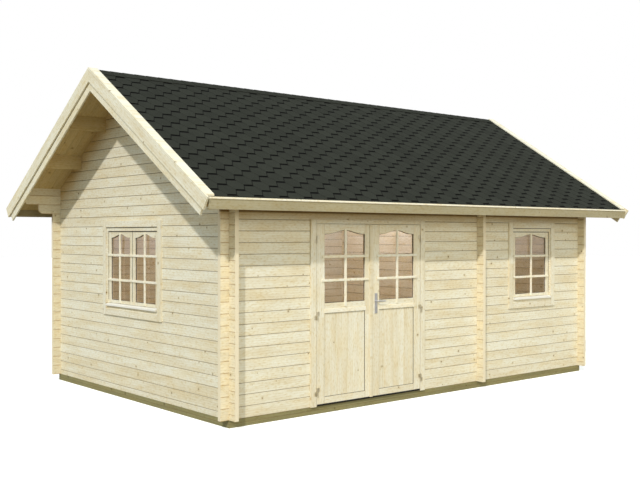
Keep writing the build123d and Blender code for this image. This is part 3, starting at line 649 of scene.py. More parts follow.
def wall_place(axis, first_bed, wall):
    """Log walls that run along X or Y."""
    def place(s):
        where, facing = s.object_place()
        parts, turned = s.split(where), s.split(facing)
        other = 1 - axis
        out = s.group(log_courses(), {
            "Along": parts[axis], "Depth": parts[other], "Height": parts[2], "First Bed": first_bed,
            "Wall": wall,
        })
        sawn = s.step(s.size(turned[axis]), *FACING)
        bed = s.times(out["Bed"], s.less(1.0, sawn))
        past = s.above(s.size(parts[axis]), CORNERS[axis])
        return out["Position"], out["Tone"], bed, (sawn, parts[other], out["Middle"], past)
    return place


def board_place(s, contrast=1.0):
    """Boards built here, which carry their own grain and tone."""
    grain = s.add("Attribute", attribute_name="grain", attribute_type="GEOMETRY").outputs["Vector"]
    tone = s.add("Attribute", attribute_name="tone", attribute_type="GEOMETRY").outputs["Fac"]
    return grain, s.times(tone, contrast), None, None


def straight_place(axis, lot=0.0, step=None):
    """Single timbers along one axis, told apart by their place across it."""
    def place(s):
        parts = s.split(s.object_place()[0])
        order = [axis] + [n for n in (2, 1, 0) if n != axis]
        number = lot
        if step:
            number = s.plus(s.math("ROUND", s.math("DIVIDE", parts[order[2]], step)), lot)
        own, tone = s.lot(number)
        shift = s.times(own, 23.0)
        along, across, depth = (parts[n] for n in order)
        return s.join(s.plus(along, shift), s.plus(across, shift), depth), tone, None, None
    return place


def rake_place(lot, edge=None):
    """Boards that climb with the roof, the same on both slopes, with a shadow along a given edge."""
    def place(s):
        x, y, z = s.split(s.object_place()[0])
        off = s.size(y)
        along = s.less(s.times(off, COS), s.times(z, SIN))
        across = s.plus(s.times(off, SIN), s.times(z, COS))
        number = s.scaled(s.above(y, 0.0), 5.0, s.scaled(s.above(x, 0.0), 3.0, lot))
        own, tone = s.lot(number)
        where = s.join(s.scaled(own, 29.0, along), s.plus(across, own), x)
        line = s.step(across, *(edge - short for short in BARGE_SHADOW)) if edge else None
        return where, tone, line, None
    return place


def member_place(axis, centre, shift, inner, middle):
    """Frames of uprights and rails, facing the front or the gable."""
    def place(s):
        where, facing = s.object_place()
        parts = s.split(where)
        out = s.group(frame_members(), {
            "Across": parts[axis], "Height": parts[2], "Depth": parts[1 - axis], "Centre": centre,
            "Pair Shift": shift, "Inner Half": inner, "Middle Height": middle,
        })
        flat = s.step(s.size(s.split(facing)[1 - axis]), *FACING)
        return out["Position"], out["Tone"], s.times(out["Shoulder"], flat), None
    return place


def finish_shingle(name, shade_by, lined=False):
    """Bitumen shingle with granules, each tab a little lighter or darker, with painted shade under the next
    rows.
    """
    roof = bpy.context.scene.cabin_roof
    material, s, shader = new_finish(name)
    place, tone, _, _ = board_place(s)
    where = s.add("VectorMath", {0: place, 1: s.join(s.times(tone, 31.0), tone, 0.0)}).outputs[0]
    granule = s.noise(where, 850.0, 2.0, 0.7)
    patch = s.noise(where, 9.0, 3.0, 0.6)
    light = s.plus(s.scaled(granule, 0.9, s.times(patch, 0.35)), s.scaled(tone, 0.10, 0.35))
    # A shade_by below one gives a darker copy of the granules: painted shade for the tab edges
    base = deeper(roof.shingle, shade_by)
    colour = s.dimmed(base, light)
    if lined:
        across, up, _ = s.split(place)
        foot, wide = roof.tab_foot / 2, (roof.tab_pitch - roof.tab_foot) / 2
        # Painted shade under the next rows: a band at each tab's head, and along the upper sides only on the
        # left half, where the key light from the left throws it
        head = s.step(up, *(2 * roof.exposure - down for down in HEAD_SHADE))
        slant = s.scaled(up, (foot - wide) / roof.exposure, 2 * wide - foot)
        beside = s.step(s.less(slant, s.size(across)), *SIDE_SHADE, 1.0, 0.0)
        sheltered = s.step(across, -0.001, 0.001, 1.0, 0.0)
        shade = s.math("MAXIMUM", head, s.times(beside, sheltered))
        colour = s.blend(shade, colour, deeper(roof.shingle, 0.02))
    s.feed(shader.inputs["Base Color"], colour)
    shader.inputs["Roughness"].default_value = 0.92
    shader.inputs["Specular IOR Level"].default_value = 0.08 * shade_by
    s.relief(shader, granule, 0.5, 0.0012)
    return material


def finish_treated(name):
    """Pressure-treated beams with a groove at half height."""
    timber = bpy.context.scene.cabin_timber
    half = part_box("foundation_beams")[1].z / 2

    def place(s):
        where, facing = s.object_place()
        x, y, z = s.split(where)
        side = s.above(s.size(s.split(facing)[0]), 0.5)
        along = s.plus(s.times(x, s.less(1.0, side)), s.times(y, side))
        upper = s.above(z, half)
        own, _ = s.lot(s.scaled(upper, 3.0, side))
        position = s.join(s.scaled(own, 17.0, along), z, s.times(upper, 0.7))
        line = s.step(s.size(s.less(z, half)), *GROOVE_LINE, 1.0, 0.0)
        return position, own, line, None

    return finish_pine(name, place, (timber.treated, deeper(timber.treated, 0.62)), bump=0.5)


def finish_glass(name):
    """Clear pane that lets the light of the room through."""
    material, s, shader = new_finish(name)
    where, _ = s.object_place()
    smear = s.noise(where, 3.0, 2.0)
    tone = tuple(bpy.context.scene.cabin_joinery.glass)
    s.feed(shader.inputs["Base Color"], s.blend(smear, tone, deeper(tone, 0.94)))
    s.feed(shader.inputs["Roughness"], s.scaled(smear, 0.03, 0.0))
    shader.inputs["Transmission Weight"].default_value = 1.0
    shader.inputs["IOR"].default_value = 1.45
    passing = s.add("LightPath").outputs["Is Shadow Ray"]
    s.feed(shader.inputs["Alpha"], s.scaled(passing, -0.85, 1.0))
    s.relief(shader, s.noise(where, 6.0, 1.0), 0.05, 0.002)
    return material


def finish_paint(name, tone):
    """Primed timber with a faint brushed surface."""
    material, s, shader = new_finish(name)
    where, _ = s.object_place()
    brushed = s.noise(s.stretched(where, 12.0, 12.0, 260.0))
    patch = s.noise(where, 7.0, 3.0)
    light = s.scaled(brushed, 0.12, s.scaled(patch, 0.14, 0.86))
    s.feed(shader.inputs["Base Color"], s.dimmed(tuple(tone), light))
    s.feed(shader.inputs["Roughness"], s.scaled(patch, 0.15, 0.45))
    s.relief(shader, brushed, 0.2, 0.0006)
    return material


def finish_metal(name, tone, rough):
    """Metal with fine brushing and faint handling marks."""
    material, s, shader = new_finish(name)
    where, _ = s.object_place()
    brushed = s.noise(s.stretched(where, 1600.0, 1600.0, 90.0))
    mark = s.noise(where, 60.0, 3.0)
    light = s.scaled(mark, 0.16, s.scaled(brushed, 0.08, 0.84))
    s.feed(shader.inputs["Base Color"], s.dimmed(tuple(tone), light))
    s.feed(shader.inputs["Roughness"], s.scaled(mark, 0.18, rough))
    shader.inputs["Metallic"].default_value = 1.0
    s.relief(shader, brushed, 0.12, 0.0003)
    return material


def dress(finish, *names):
    """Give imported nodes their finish."""
    for name in names:
        NODES[name].data.materials.clear()
        NODES[name].data.materials.append(finish)


def dress_members(name, tones, axis, centre, inner, middle, shift=0.0, shade=None):
    """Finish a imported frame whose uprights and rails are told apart."""
    place = member_place(axis, centre, shift, inner, middle)
    dress(finish_pine(f"pine_{name}", place, tones, shade=shade), name)


def plank(width, thick, ease):
    """Section of a board whose two near edges are eased; near side is at zero."""
    half = (width - BOARD_GAP) / 2
    return [(-half + ease, 0), (half - ease, 0), (half, ease), (half, thick), (-half, thick), (-half, ease)]


def bar_section(width, thick):
    """Section of a glazing bar with rounded shoulders, from its back at zero outward."""
    half, ease = width / 2, min(width, thick) * 0.3
    low, high = half - ease * 0.3, thick - ease * 0.3
    return [(-half, 0), (half, 0), (half, thick - ease), (low, high), (half - ease, thick),
            (-half + ease, thick), (-low, high), (-half, thick - ease)]


def arch_path(low_side, high_side, bottom, top, steps=7):
    """Outline of a pane: square below, and above two hollow arcs that swell into a round crown."""
    half, middle = (high_side - low_side) / 2, (low_side + high_side) / 2
    reach = (half * half + ARCH_RISE * ARCH_RISE) / (2 * ARCH_RISE)
    hollow, crown = reach * (1 - ARCH_CROWN), reach * ARCH_CROWN
    span = math.asin(half / reach)
    turns = [span * n / steps for n in range(steps + 1)]
    rise = [(half - hollow * math.sin(t), hollow * (1 - math.cos(t))) for t in turns]
    rise += [(crown * math.sin(t), ARCH_RISE - crown * (1 - math.cos(t))) for t in turns[-2::-1]]
    head = rise + [(-off, up) for off, up in rise[-2::-1]]
    return [(low_side, bottom), (high_side, bottom)] + [(middle + off, top + up) for off, up in head]


def bar_sections(joinery):
    """Sections of the level bars and of the thinner upright ones."""
    return (bar_section(joinery.bar_level, joinery.bar_thick),
            bar_section(joinery.bar_width, joinery.bar_thick * 0.8))


def between(levels, width, bottom, top):
    """Stretches of an upright bar that the level bars leave free."""
    stops = [bottom] + [z + half for z in levels for half in (-width / 2, width / 2)] + [top]
    return zip(stops[::2], stops[1::2])


def quarter(size):
    """Section of a small quarter-round bead."""
    return [(0.0, 0.0), (size, 0.0), (size * 0.92, size * 0.38), (size * 0.71, size * 0.71),
            (size * 0.38, size * 0.92), (0.0, size)]


class Cabin_OT_walls(bpy.types.Operator):
    """Finish the log walls, gables, partition and purlins"""

    bl_idname = "cabin.walls"
    bl_label = "Log walls"

    def execute(self, context):
        front = finish_pine("pine_logs_front", wall_place(0, FIRST_BED, 1.0), shade=0)
        dress(front, *(f"front_wall_{place}" for place in ("base", "left", "middle", "right", "top")))
        dress(finish_pine("pine_logs_rear", wall_place(0, FIRST_BED, 2.0), shade=0), "rear_wall")
        left = finish_pine("pine_logs_left_gable", wall_place(1, CROSS_BED, 3.0), shade=1)
        sides = ("base", "front_side", "rear_side", "top", "triangle")
        dress(left, *(f"left_gable_{place}" for place in sides))
        right = finish_pine("pine_logs_right_gable", wall_place(1, CROSS_BED, 4.0), shade=1)
        dress(right, "right_gable_wall", "right_gable_triangle")
        dress(finish_pine("pine_logs_partition", wall_place(1, CROSS_BED, 5.0)), "partition_front",
              "partition_rear", "partition_top")
        roof = context.scene.cabin_timber.roof
        purlins = finish_pine("pine_purlins", straight_place(0, 3.0, PURLIN_STEP), (roof, deeper(roof)))
        dress(purlins, "purlins")
        return {"FINISHED"}


class Cabin_OT_ground(bpy.types.Operator):
    """Finish the treated beams and lay the floor boards of both rooms"""

    bl_idname = "cabin.ground"
    bl_label = "Beams and floors"

    def execute(self, context):
        timber = context.scene.cabin_timber
        dress(finish_treated("treated_beams"), "foundation_beams", "floor_joists")
        planed = finish_pine("pine_floor_boards", board_place, (timber.floor, deeper(timber.floor)))
        for room, seed in (("main", 11), ("side", 12)):
            low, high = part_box(f"floor_{room}_room")
            count = round((high.y - low.y) / timber.floor_board)
            width = (high.y - low.y) / count
            section = plank(width, high.z - low.z, BOARD_EASE)
            pile = Pile(seed)
            for n in range(count):
                y = low.y + width * (n + 0.5)
                pile.bar((low.x, y, high.z), (high.x, y, high.z), (0, 1, 0), (0, 0, -1), section)
            boards = pile.piece(f"floor_boards_{room}_room", [planed], "cabin", "floor_board")
            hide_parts(f"floor_{room}_room")
        return {"FINISHED"}


def slope_point(side, x, up, normal, under, eave):
    """A point over one slope: up from the eaves along the slope, normal above its plane."""
    y = eave - up * COS + normal * SIN
    return Vector((x, side * y, under - eave * SLOPE + up * SIN + normal * COS))


class Cabin_OT_roof_boards(bpy.types.Operator):
    """Lay the roof boards from ridge to eaves on both slopes"""

    bl_idname = "cabin.roof_boards"
    bl_label = "Roof boards"

    def execute(self, context):
        timber = context.scene.cabin_timber
        finish = finish_pine("pine_roof_boards", board_place, (timber.roof, deeper(timber.roof)))
        count = round(2 * DECK_REACH / timber.roof_board)
        width = 2 * DECK_REACH / count
        section = plank(width, DECK_THICK, BOARD_EASE)
        for side, word, seed in ((-1, "front", 21), (1, "rear", 22)):
            pile = Pile(seed)
            for n in range(count):
                x = -DECK_REACH + width * (n + 0.5)
                rings, grain = [], []
                for y in (DECK_EAVE, RIDGE_MEET):
                    foot = DECK_UNDER - y * SLOPE
                    rings.append([Vector((x + s, side * y, foot + t / COS)) for s, t in section])
                    grain.append([(y / COS, s, t) for s, t in section])
                pile.rings(rings, grain)
            boards = pile.piece(f"roof_boards_{word}", [finish], "cabin", "roof_timber")
            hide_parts(f"roof_deck_{word}")
        return {"FINISHED"}


def clipped(outline, axis, limit, keep_above):
    """Part of a convex outline on one side of a level line."""
    kept = []
    for n, point in enumerate(outline):
        before = outline[n - 1]
        inside = (point[axis] >= limit) == keep_above or point[axis] == limit
        was_inside = (before[axis] >= limit) == keep_above or before[axis] == limit
        if inside != was_inside:
            share = (limit - before[axis]) / (point[axis] - before[axis])
            kept.append(tuple(b + (p - b) * share for b, p in zip(before, point)))
        if inside:
            kept.append(point)
    return kept


class Cabin_OT_shingles(bpy.types.Operator):
    """Lay the six-sided shingle tabs on both slopes and the folded pieces along the ridge"""

    bl_idname = "cabin.shingles"
    bl_label = "Shingles"

    fall = 0.0019
    cut = 0.0006
    start = 0.005

    def execute(self, context):
        roof = context.scene.cabin_roof
        face = finish_shingle("shingle_granules", 1.0, lined=True)
        plain = finish_shingle("ridge_granules", 1.0)
        # The dark edge finish, the granule tone at 0.15, is partly the bare cut edge and partly painted shade
        edge = finish_shingle("shingle_cut_edge_shade", 0.15)
        for side, word, seed in ((-1, "front", 31), (1, "rear", 32)):
            pile = self.slope(roof, side, seed)
            tiles = pile.piece(f"shingles_{word}", [face, edge], "cabin", "bitumen_shingle")
            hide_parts(f"roof_covering_{word}")
        cap = self.ridge(roof).piece("ridge_shingles", [plain, edge], "cabin", "bitumen_shingle")
        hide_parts("ridge_cap")
        return {"FINISHED"}

    def slope(self, roof, side, seed):
        pile = Pile(seed)
        top = COVER_EAVE / COS - RIDGE_MEET
        row_count = int((top - roof.first_row) / roof.exposure) + 3
        column_count = int(2 * DECK_REACH / roof.tab_pitch) + 3
        foot = roof.tab_foot / 2 - self.cut / 2
        wide = roof.tab_pitch / 2 - roof.tab_foot / 2 - self.cut / 2
        for row in range(-2, row_count):
            low = roof.first_row + row * roof.exposure
            for column in range(column_count):
                x = -DECK_REACH + self.start + (column - (0.5 if row % 2 else 0.0)) * roof.tab_pitch
                bottom, middle, head = low + self.cut, low + roof.exposure, low + 2 * roof.exposure - self.cut
                hexagon = [(x - foot, bottom), (x + foot, bottom), (x + wide, middle), (x + foot, head),
                           (x - foot, head), (x - wide, middle)]
                for axis, limit, above in ((0, -DECK_REACH, True), (0, DECK_REACH, False), (1, 0.0, True),
                                           (1, top, False)):
                    hexagon = clipped(hexagon, axis, limit, above) if len(hexagon) > 2 else hexagon
                if len(hexagon) > 2:
                    self.tile(pile, side, hexagon, x, low, roof.exposure)
        return pile

    def tile(self, pile, side, outline, middle, low, exposure):
        """One tab: thick at its lower edge and sinking under the next rows."""
        points, grain, count = [], [], len(outline)
        for level in (0, 1):
            for x, up in outline:
                height = level * (COVER_THICK - self.fall * (up - low) / exposure)
                points.append(slope_point(side, x, up, height, COVER_UNDER, COVER_EAVE))
                grain.append((x - middle, up - low, height))
        walls = [(n, (n + 1) % count, count + (n + 1) % count, count + n) for n in range(count)]
        faces = [tuple(range(count))[::-1], tuple(range(count, 2 * count))] + walls
        corners = list(zip(outline, outline[1:] + outline[:1]))
        # Painted shade on the cut walls: only the lower left ones, which face the key light, keep the granule
        # finish; the rest and the underside take the dark edge finish
        plain = [b[0] > a[0] and b[1] < a[1] for a, b in corners]
        pile.add(points, faces, grain, [1, 0] + [0 if side else 1 for side in plain], moved=False)

    def ridge(self, roof):
        """Folded pieces, each lapping the next."""
        pile = Pile(33)
        low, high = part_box("ridge_cap")
        count = round((high.x - low.x) / roof.ridge_exposure)
        step = (high.x - low.x) / count
        seat = high.z - COVER_THICK / COS
        thick, lift, lap = 0.003, 0.0028, 0.03
        crown, crown_half = 0.0016, 0.012
        reach = high.y - (COVER_THICK + HAIR) * SIN
        fold = (0.0, 0.004, crown_half, 0.04, reach)
        for n in range(count):
            ends = ((low.x + step * n, lift), (min(low.x + step * (n + 1) + lap, high.x), 0.0))
            rings, grain = [], []
            for x, rise in ends:
                lower, upper = [], []
                for y in [-f for f in fold[:0:-1]] + list(fold):
                    drop = abs(y) * SLOPE + crown * max(0.0, 1 - abs(y) / crown_half)
                    base = seat - drop + rise / COS
                    lower.append((x, y, base))
                    upper.append((x, y, base + thick / COS))
                ring = lower + upper[::-1]
                rings.append([Vector(p) for p in ring])
                grain.append(ring)
            pile.rings(rings, grain)
        return pile


class Cabin_OT_trim(bpy.types.Operator):
    """Finish the bargeboards, edge strips and fascias, and drive their screws"""

    bl_idname = "cabin.trim"
    bl_label = "Roof trim"

    screw_count, screw_step, screw_start, screw_rows = 4, 0.62, 0.25, (0.03, 0.10)
    screw_sunk = 0.0012
    screw = [(0.0036, 0.0), (0.0036, 0.0006), (0.0026, 0.0011), (0.0009, 0.0012)]
    lath_width, lath_thick = 0.018, 0.008

    def execute(self, context):
        timber = context.scene.cabin_timber
        dress(finish_pine("pine_bargeboards", rake_place(1.0)), "bargeboards_left", "bargeboards_right")
        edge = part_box("bargeboards_left")[1].z * COS - BARGE_WIDTH
        backing = finish_pine("pine_backing_boards", rake_place(7.0, edge))
        dress(backing, "backing_boards_left", "backing_boards_right")
        strips = finish_pine("pine_edge_strips", rake_place(13.0), (deeper(timber.lath, 0.86), timber.pale))
        dress(strips, "gable_edge_strips")
        fascia = finish_pine("fascia_boards", straight_place(0, 5.0), (timber.fascia, deeper(timber.fascia)))
        dress(fascia, "fascia_front", "fascia_rear")
        self.laths(finish_pine("pine_eave_laths", board_place, (timber.lath, timber.pale)))
        self.screws(finish_metal("zinc_screws", context.scene.cabin_joinery.zinc, 0.35))
        return {"FINISHED"}

    def laths(self, finish):
        """A lath along the top of each fascia."""
        pile = Pile(42)
        low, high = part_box("fascia_front")
        section = bar_section(self.lath_width, self.lath_thick)
        for side in (-1, 1):
            y, z = side * abs(low.y), high.z - self.lath_width / 2 - BOARD_GAP
            pile.bar((low.x, y, z), (high.x, y, z), (0, 0, 1), (0, side, 0), section)
        pile.piece("eave_laths", [finish], "cabin", "trim_pine")

    def screws(self, finish):
        """Two rows of screw heads along each bargeboard."""
        pile = Pile(41)
        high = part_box("bargeboards_right")[1]
        for outward, face in ((-1, -high.x), (1, high.x)):
            for side in (-1, 1):
                for n in range(self.screw_count):
                    along = self.screw_start + self.screw_step * n
                    for down in self.screw_rows:
                        z = high.z - along * SIN - down / COS
                        centre = (face - outward * self.screw_sunk, side * along * COS, z)
                        pile.turned(centre, (outward, 0, 0), self.screw, 10)
        pile.piece("bargeboard_screws", [finish], "cabin", "hinge_steel", math.radians(40))


class Cabin_OT_doors(bpy.types.Operator):
    """Finish the door frame and leaves, and fit panel boards, beads and glazing bars"""

    bl_idname = "cabin.doors"
    bl_label = "Door leaves"

    bar_below, rail_lap, rail_lift, rail_high, rail_thick = 0.045, 0.01, 0.0002, 0.0437, 0.007
    bead_off, pane_off, panel_gasket = 0.0004, 0.0038, 0.004
    # Weatherstrips under the leaf, near black as a painted shadow of the gap under the door: thickness, top
    # above the leaf's foot, and how far the back lies behind the outer face
    shadow_seal_parts = ((0.026, 0.0, 0.033), (0.0016, 0.0115, 0.0))
    seal_short = 0.002

    def execute(self, context):
        joinery = context.scene.cabin_joinery
        timber = context.scene.cabin_timber
        tones = (joinery.pale, timber.deep)
        boards = finish_pine("pine_door_boards", lambda s: board_place(s, 1.9), tones)
        bars = finish_pine("pine_door_bars", board_place, (joinery.bar, joinery.pale))
        # Dark strips round panels and panes, partly painted shade in the recesses and reveals
        dark = finish_paint("door_gasket_and_shade", joinery.gasket)
        # Near black: painted shadow of the gap under the leaves
        foot = finish_paint("door_foot_shadow_seal", deeper(joinery.gasket, 0.15))
        low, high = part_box("door_frame")
        middle = (low.x + high.x) / 2
        inner = (high.x - low.x) / 2 - CASING_WIDTH
        dress_members("door_frame", tones, 0, middle, inner, DOOR_SPLIT, shade=0)
        dress(finish_pine("pine_astragal", straight_place(2, 9.0), tones), "door_astragal")
        dress(finish_glass("door_glass"), "door_glass_left", "door_glass_right")
        for word in ("left", "right"):
            low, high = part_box(f"door_leaf_{word}")
            middle, half = (low.x + high.x) / 2, (high.x - low.x) / 2
            dress_members(f"door_leaf_{word}", tones, 0, middle, half - STILE, DOOR_SPLIT)
            for title, make, seed, finish in (
                    ("panel_boards", self.panels, 50, boards), ("glazing_bars", self.bars, 60, bars),
                    ("mouldings", self.mouldings, 65, bars), ("gaskets_and_shade", self.gaskets_and_shade, 70, dark),
                    ("foot_shadow_seals", self.shadow_seals, 75, foot)):
                pile = Pile(seed + len(word))
                make(pile, joinery, low, high)
                pile.piece(f"door_{title}_{word}", [finish], f"{word}_leaf", "door_pine")
        return {"FINISHED"}

    def panels(self, pile, joinery, low, high):
        """Upright boards in the recess of both faces."""
        start, end = low.x + STILE + HAIR, high.x - STILE - HAIR
        count = round((end - start) / joinery.panel_board)
        width = (end - start) / count
        section = plank(width, PANEL_BOARD, 0.0020)
        for face, out in ((low.y + PANEL_SINK, -1), (high.y - PANEL_SINK, 1)):
            for n in range(count):
                x, y = start + width * (n + 0.5), face + out * PANEL_BOARD
                pile.bar((x, y, PANEL_LOW + HAIR), (x, y, PANEL_HIGH - HAIR), (1, 0, 0), (0, -out, 0),
                         section)

    def bars(self, pile, joinery, low, high):
        """Grille of glazing bars over the pane."""
        middle, near = (low.x + high.x) / 2, Vector((0, -1, 0))
        start, end = low.x + STILE - joinery.bar_lap, high.x - STILE + joinery.bar_lap
        level, upright = bar_sections(joinery)
        for z in DOOR_BARS:
            pile.bar((start, low.y, z), (end, low.y, z), (0, 0, 1), near, level)
        bottom, top = PANE_LOW - self.bar_below, PANE_SIDE + ARCH_RISE + BAR_OVER
        for z_low, z_high in between(DOOR_BARS, joinery.bar_level, bottom, top):
            pile.bar((middle, low.y, z_low), (middle, low.y, z_high), (1, 0, 0), near, upright)

    def mouldings(self, pile, joinery, low, high):
        """A rounded rail over the panel and the beads that hold the pane from inside."""
        start, end = low.x + STILE - self.rail_lap, high.x - STILE + self.rail_lap
        rail = (PANEL_HIGH + self.rail_lift, PANEL_HIGH + self.rail_high)
        middle = sum(rail) / 2
        pile.bar((start, low.y, middle), (end, low.y, middle), (0, 0, 1), (0, -1, 0),
                 bar_section(rail[1] - rail[0], self.rail_thick))
        back = (low.y + high.y) / 2 + self.bead_off
        inner, outer = low.x + STILE, high.x - STILE
        outline = arch_path(inner - REBATE, outer + REBATE, PANE_LOW - REBATE, PANE_SIDE + REBATE)
        path = [Vector((x, back, z)) for x, z in outline]
        pile.bead(path[::-1], Vector((0, 1, 0)), quarter(BEAD))

    def gaskets_and_shade(self, pile, joinery, low, high):
        """Dark strips round the panel and the pane, partly painted shade in the recess and the reveal."""
        inner, outer = low.x + STILE, high.x - STILE
        middle = (low.y + high.y) / 2
        panel = [(inner, PANEL_LOW), (outer, PANEL_LOW), (outer, PANEL_HIGH), (inner, PANEL_HIGH)]
        pane = arch_path(inner, outer, PANE_LOW, PANE_SIDE)
        sunk, small = PANEL_SINK - PANEL_BOARD, self.panel_gasket
        for outline, back, size, out in ((panel, low.y + sunk, small, -1), (panel, high.y - sunk, small, 1),
                                         (pane, middle - self.pane_off, GASKET_AND_SHADE, -1)):
            path = [Vector((x, back, z)) for x, z in outline]
            pile.bead(path if out < 0 else path[::-1], Vector((0, out, 0)), quarter(size))

    def shadow_seals(self, pile, joinery, low, high):
        """Weatherstrip under the leaf and its lip over the outer face, near black as a painted shadow of the
        gap.
        """
        start, end = low.x + self.seal_short, high.x - self.seal_short
        for thick, top, back in self.shadow_seal_parts:
            y, z = low.y + back, low.z + (top - SHADOW_SEAL_DROP) / 2
            pile.bar((start, y, z), (end, y, z), (0, 0, 1), (0, -1, 0), bar_section(top + SHADOW_SEAL_DROP, thick))


class Cabin_OT_ironwork(bpy.types.Operator):
    """Finish the hinges and plates, and fit the lever handles, cylinder and screws"""

    bl_idname = "cabin.ironwork"
    bl_label = "Door ironwork"

    axis_inset, collar, neck, bend, tip, droop = 0.009, 0.024, 0.0075, 0.016, 0.004, 0.0004
    screw_inset, cylinder_height, slot_length, slot_out, sunk = 0.014, 0.062, 0.009, 0.0024, 0.0002
    screw = [(0.004, 0.0), (0.004, 0.0007), (0.0026, 0.0012), (0.0008, 0.0013)]
    cylinder = [(0.0085, 0.0), (0.0085, 0.0022), (0.0078, 0.0028), (0.002, 0.0028)]
    rose = [(0.0125, 0.0), (0.0125, 0.0022), (0.0115, 0.0034), (0.0088, 0.0038)]
    slot = [(-0.0007, 0), (0.0007, 0), (0.0007, 0.0003), (-0.0007, 0.0003)]

    def execute(self, context):
        joinery = context.scene.cabin_joinery
        zinc = finish_metal("hinge_plating", joinery.zinc, 0.32)
        steel = finish_metal("handle_metal", joinery.metal, 0.24)
        dark = finish_metal("keyhole_shadow", (0.02, 0.02, 0.02), 0.6)
        dress(zinc, "door_hinge_pins", "door_hinges_left", "door_hinges_right")
        dress(steel, "door_handle_plates")
        low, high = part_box("door_lever")
        axis = Vector((low.x + self.axis_inset, 0, (low.z + high.z) / 2))
        lever = Pile(81)
        leaf_low, leaf_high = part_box("door_leaf_right")
        middle = (leaf_low.y + leaf_high.y) / 2
        for out, far in ((-1, low.y), (1, high.y)):
            self.handle(lever, axis, out, middle, abs(far - middle), high.x)
        made = lever.piece("lever_handles", [steel], "lever", "handle_metal", math.radians(50))
        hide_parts("door_lever")
        plates_low, plates_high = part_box("door_handle_plates")
        fittings, slots = Pile(82), Pile(83)
        for out, face in ((-1, plates_low.y), (1, plates_high.y)):
            foot, level = face - out * self.sunk, plates_low.z + self.cylinder_height
            for z in (plates_low.z + self.screw_inset, plates_high.z - self.screw_inset):
                fittings.turned((axis.x, foot, z), (0, out, 0), self.screw, 12)
            fittings.turned((axis.x, foot, level), (0, out, 0), self.cylinder, 24)
            start = Vector((axis.x, face + out * self.slot_out, level + self.slot_length / 2))
            slots.bar(start, start - Vector((0, 0, self.slot_length)), (1, 0, 0), (0, out, 0), self.slot)
        fittings.piece("plate_screws_and_cylinders", [steel], "right_leaf", "handle_metal", math.radians(40))
        slots.piece("key_slots", [dark], "right_leaf", "handle_metal")
        return {"FINISHED"}

    def handle(self, pile, axis, out, middle, reach, far):
        """One lever: a collar and neck square to the door, then a tapering grip along it."""
        collar, bend = self.collar, self.bend
        centre, end = middle + out * (reach - self.neck), far - self.tip
        necks, turns, grips = 3, 6, 7
        path, sizes = [], []
        for n in range(necks):
            y = middle + out * (collar + (reach - collar - self.neck - bend) * n / (necks - 1))
            path.append(Vector((axis.x, y, axis.z)))
            sizes.append((0.0085 - 0.0008 * n, 0.0085 - 0.0008 * n))
        for n in range(1, turns + 1):
            turn = math.pi / 2 * n / turns
            y = centre - out * bend * (1 - math.sin(turn))
            path.append(Vector((axis.x + bend * (1 - math.cos(turn)), y, axis.z)))
            sizes.append((0.0069 - 0.0001 * n, 0.0069 + 0.0002 * n))
        start = path[-1].x
        for n in range(1, grips + 1):
            share = n / grips
            path.append(Vector((start + (end - start) * share, centre, axis.z - self.droop * n)))
            sizes.append((0.0062 - 0.0014 * share, 0.0080 - 0.0012 * share))
        for further, size in ((0.0022, 0.78), (0.0036, 0.42)):
            path.append(Vector((end + further, centre, axis.z - self.droop * grips)))
            sizes.append((0.0048 * size, 0.0068 * size))
        pile.tube(path, sizes, 16, Vector((0, 0, 1)))
        pile.turned((axis.x, middle + out * (collar + 0.0022), axis.z), (0, out, 0), self.rose, 24)


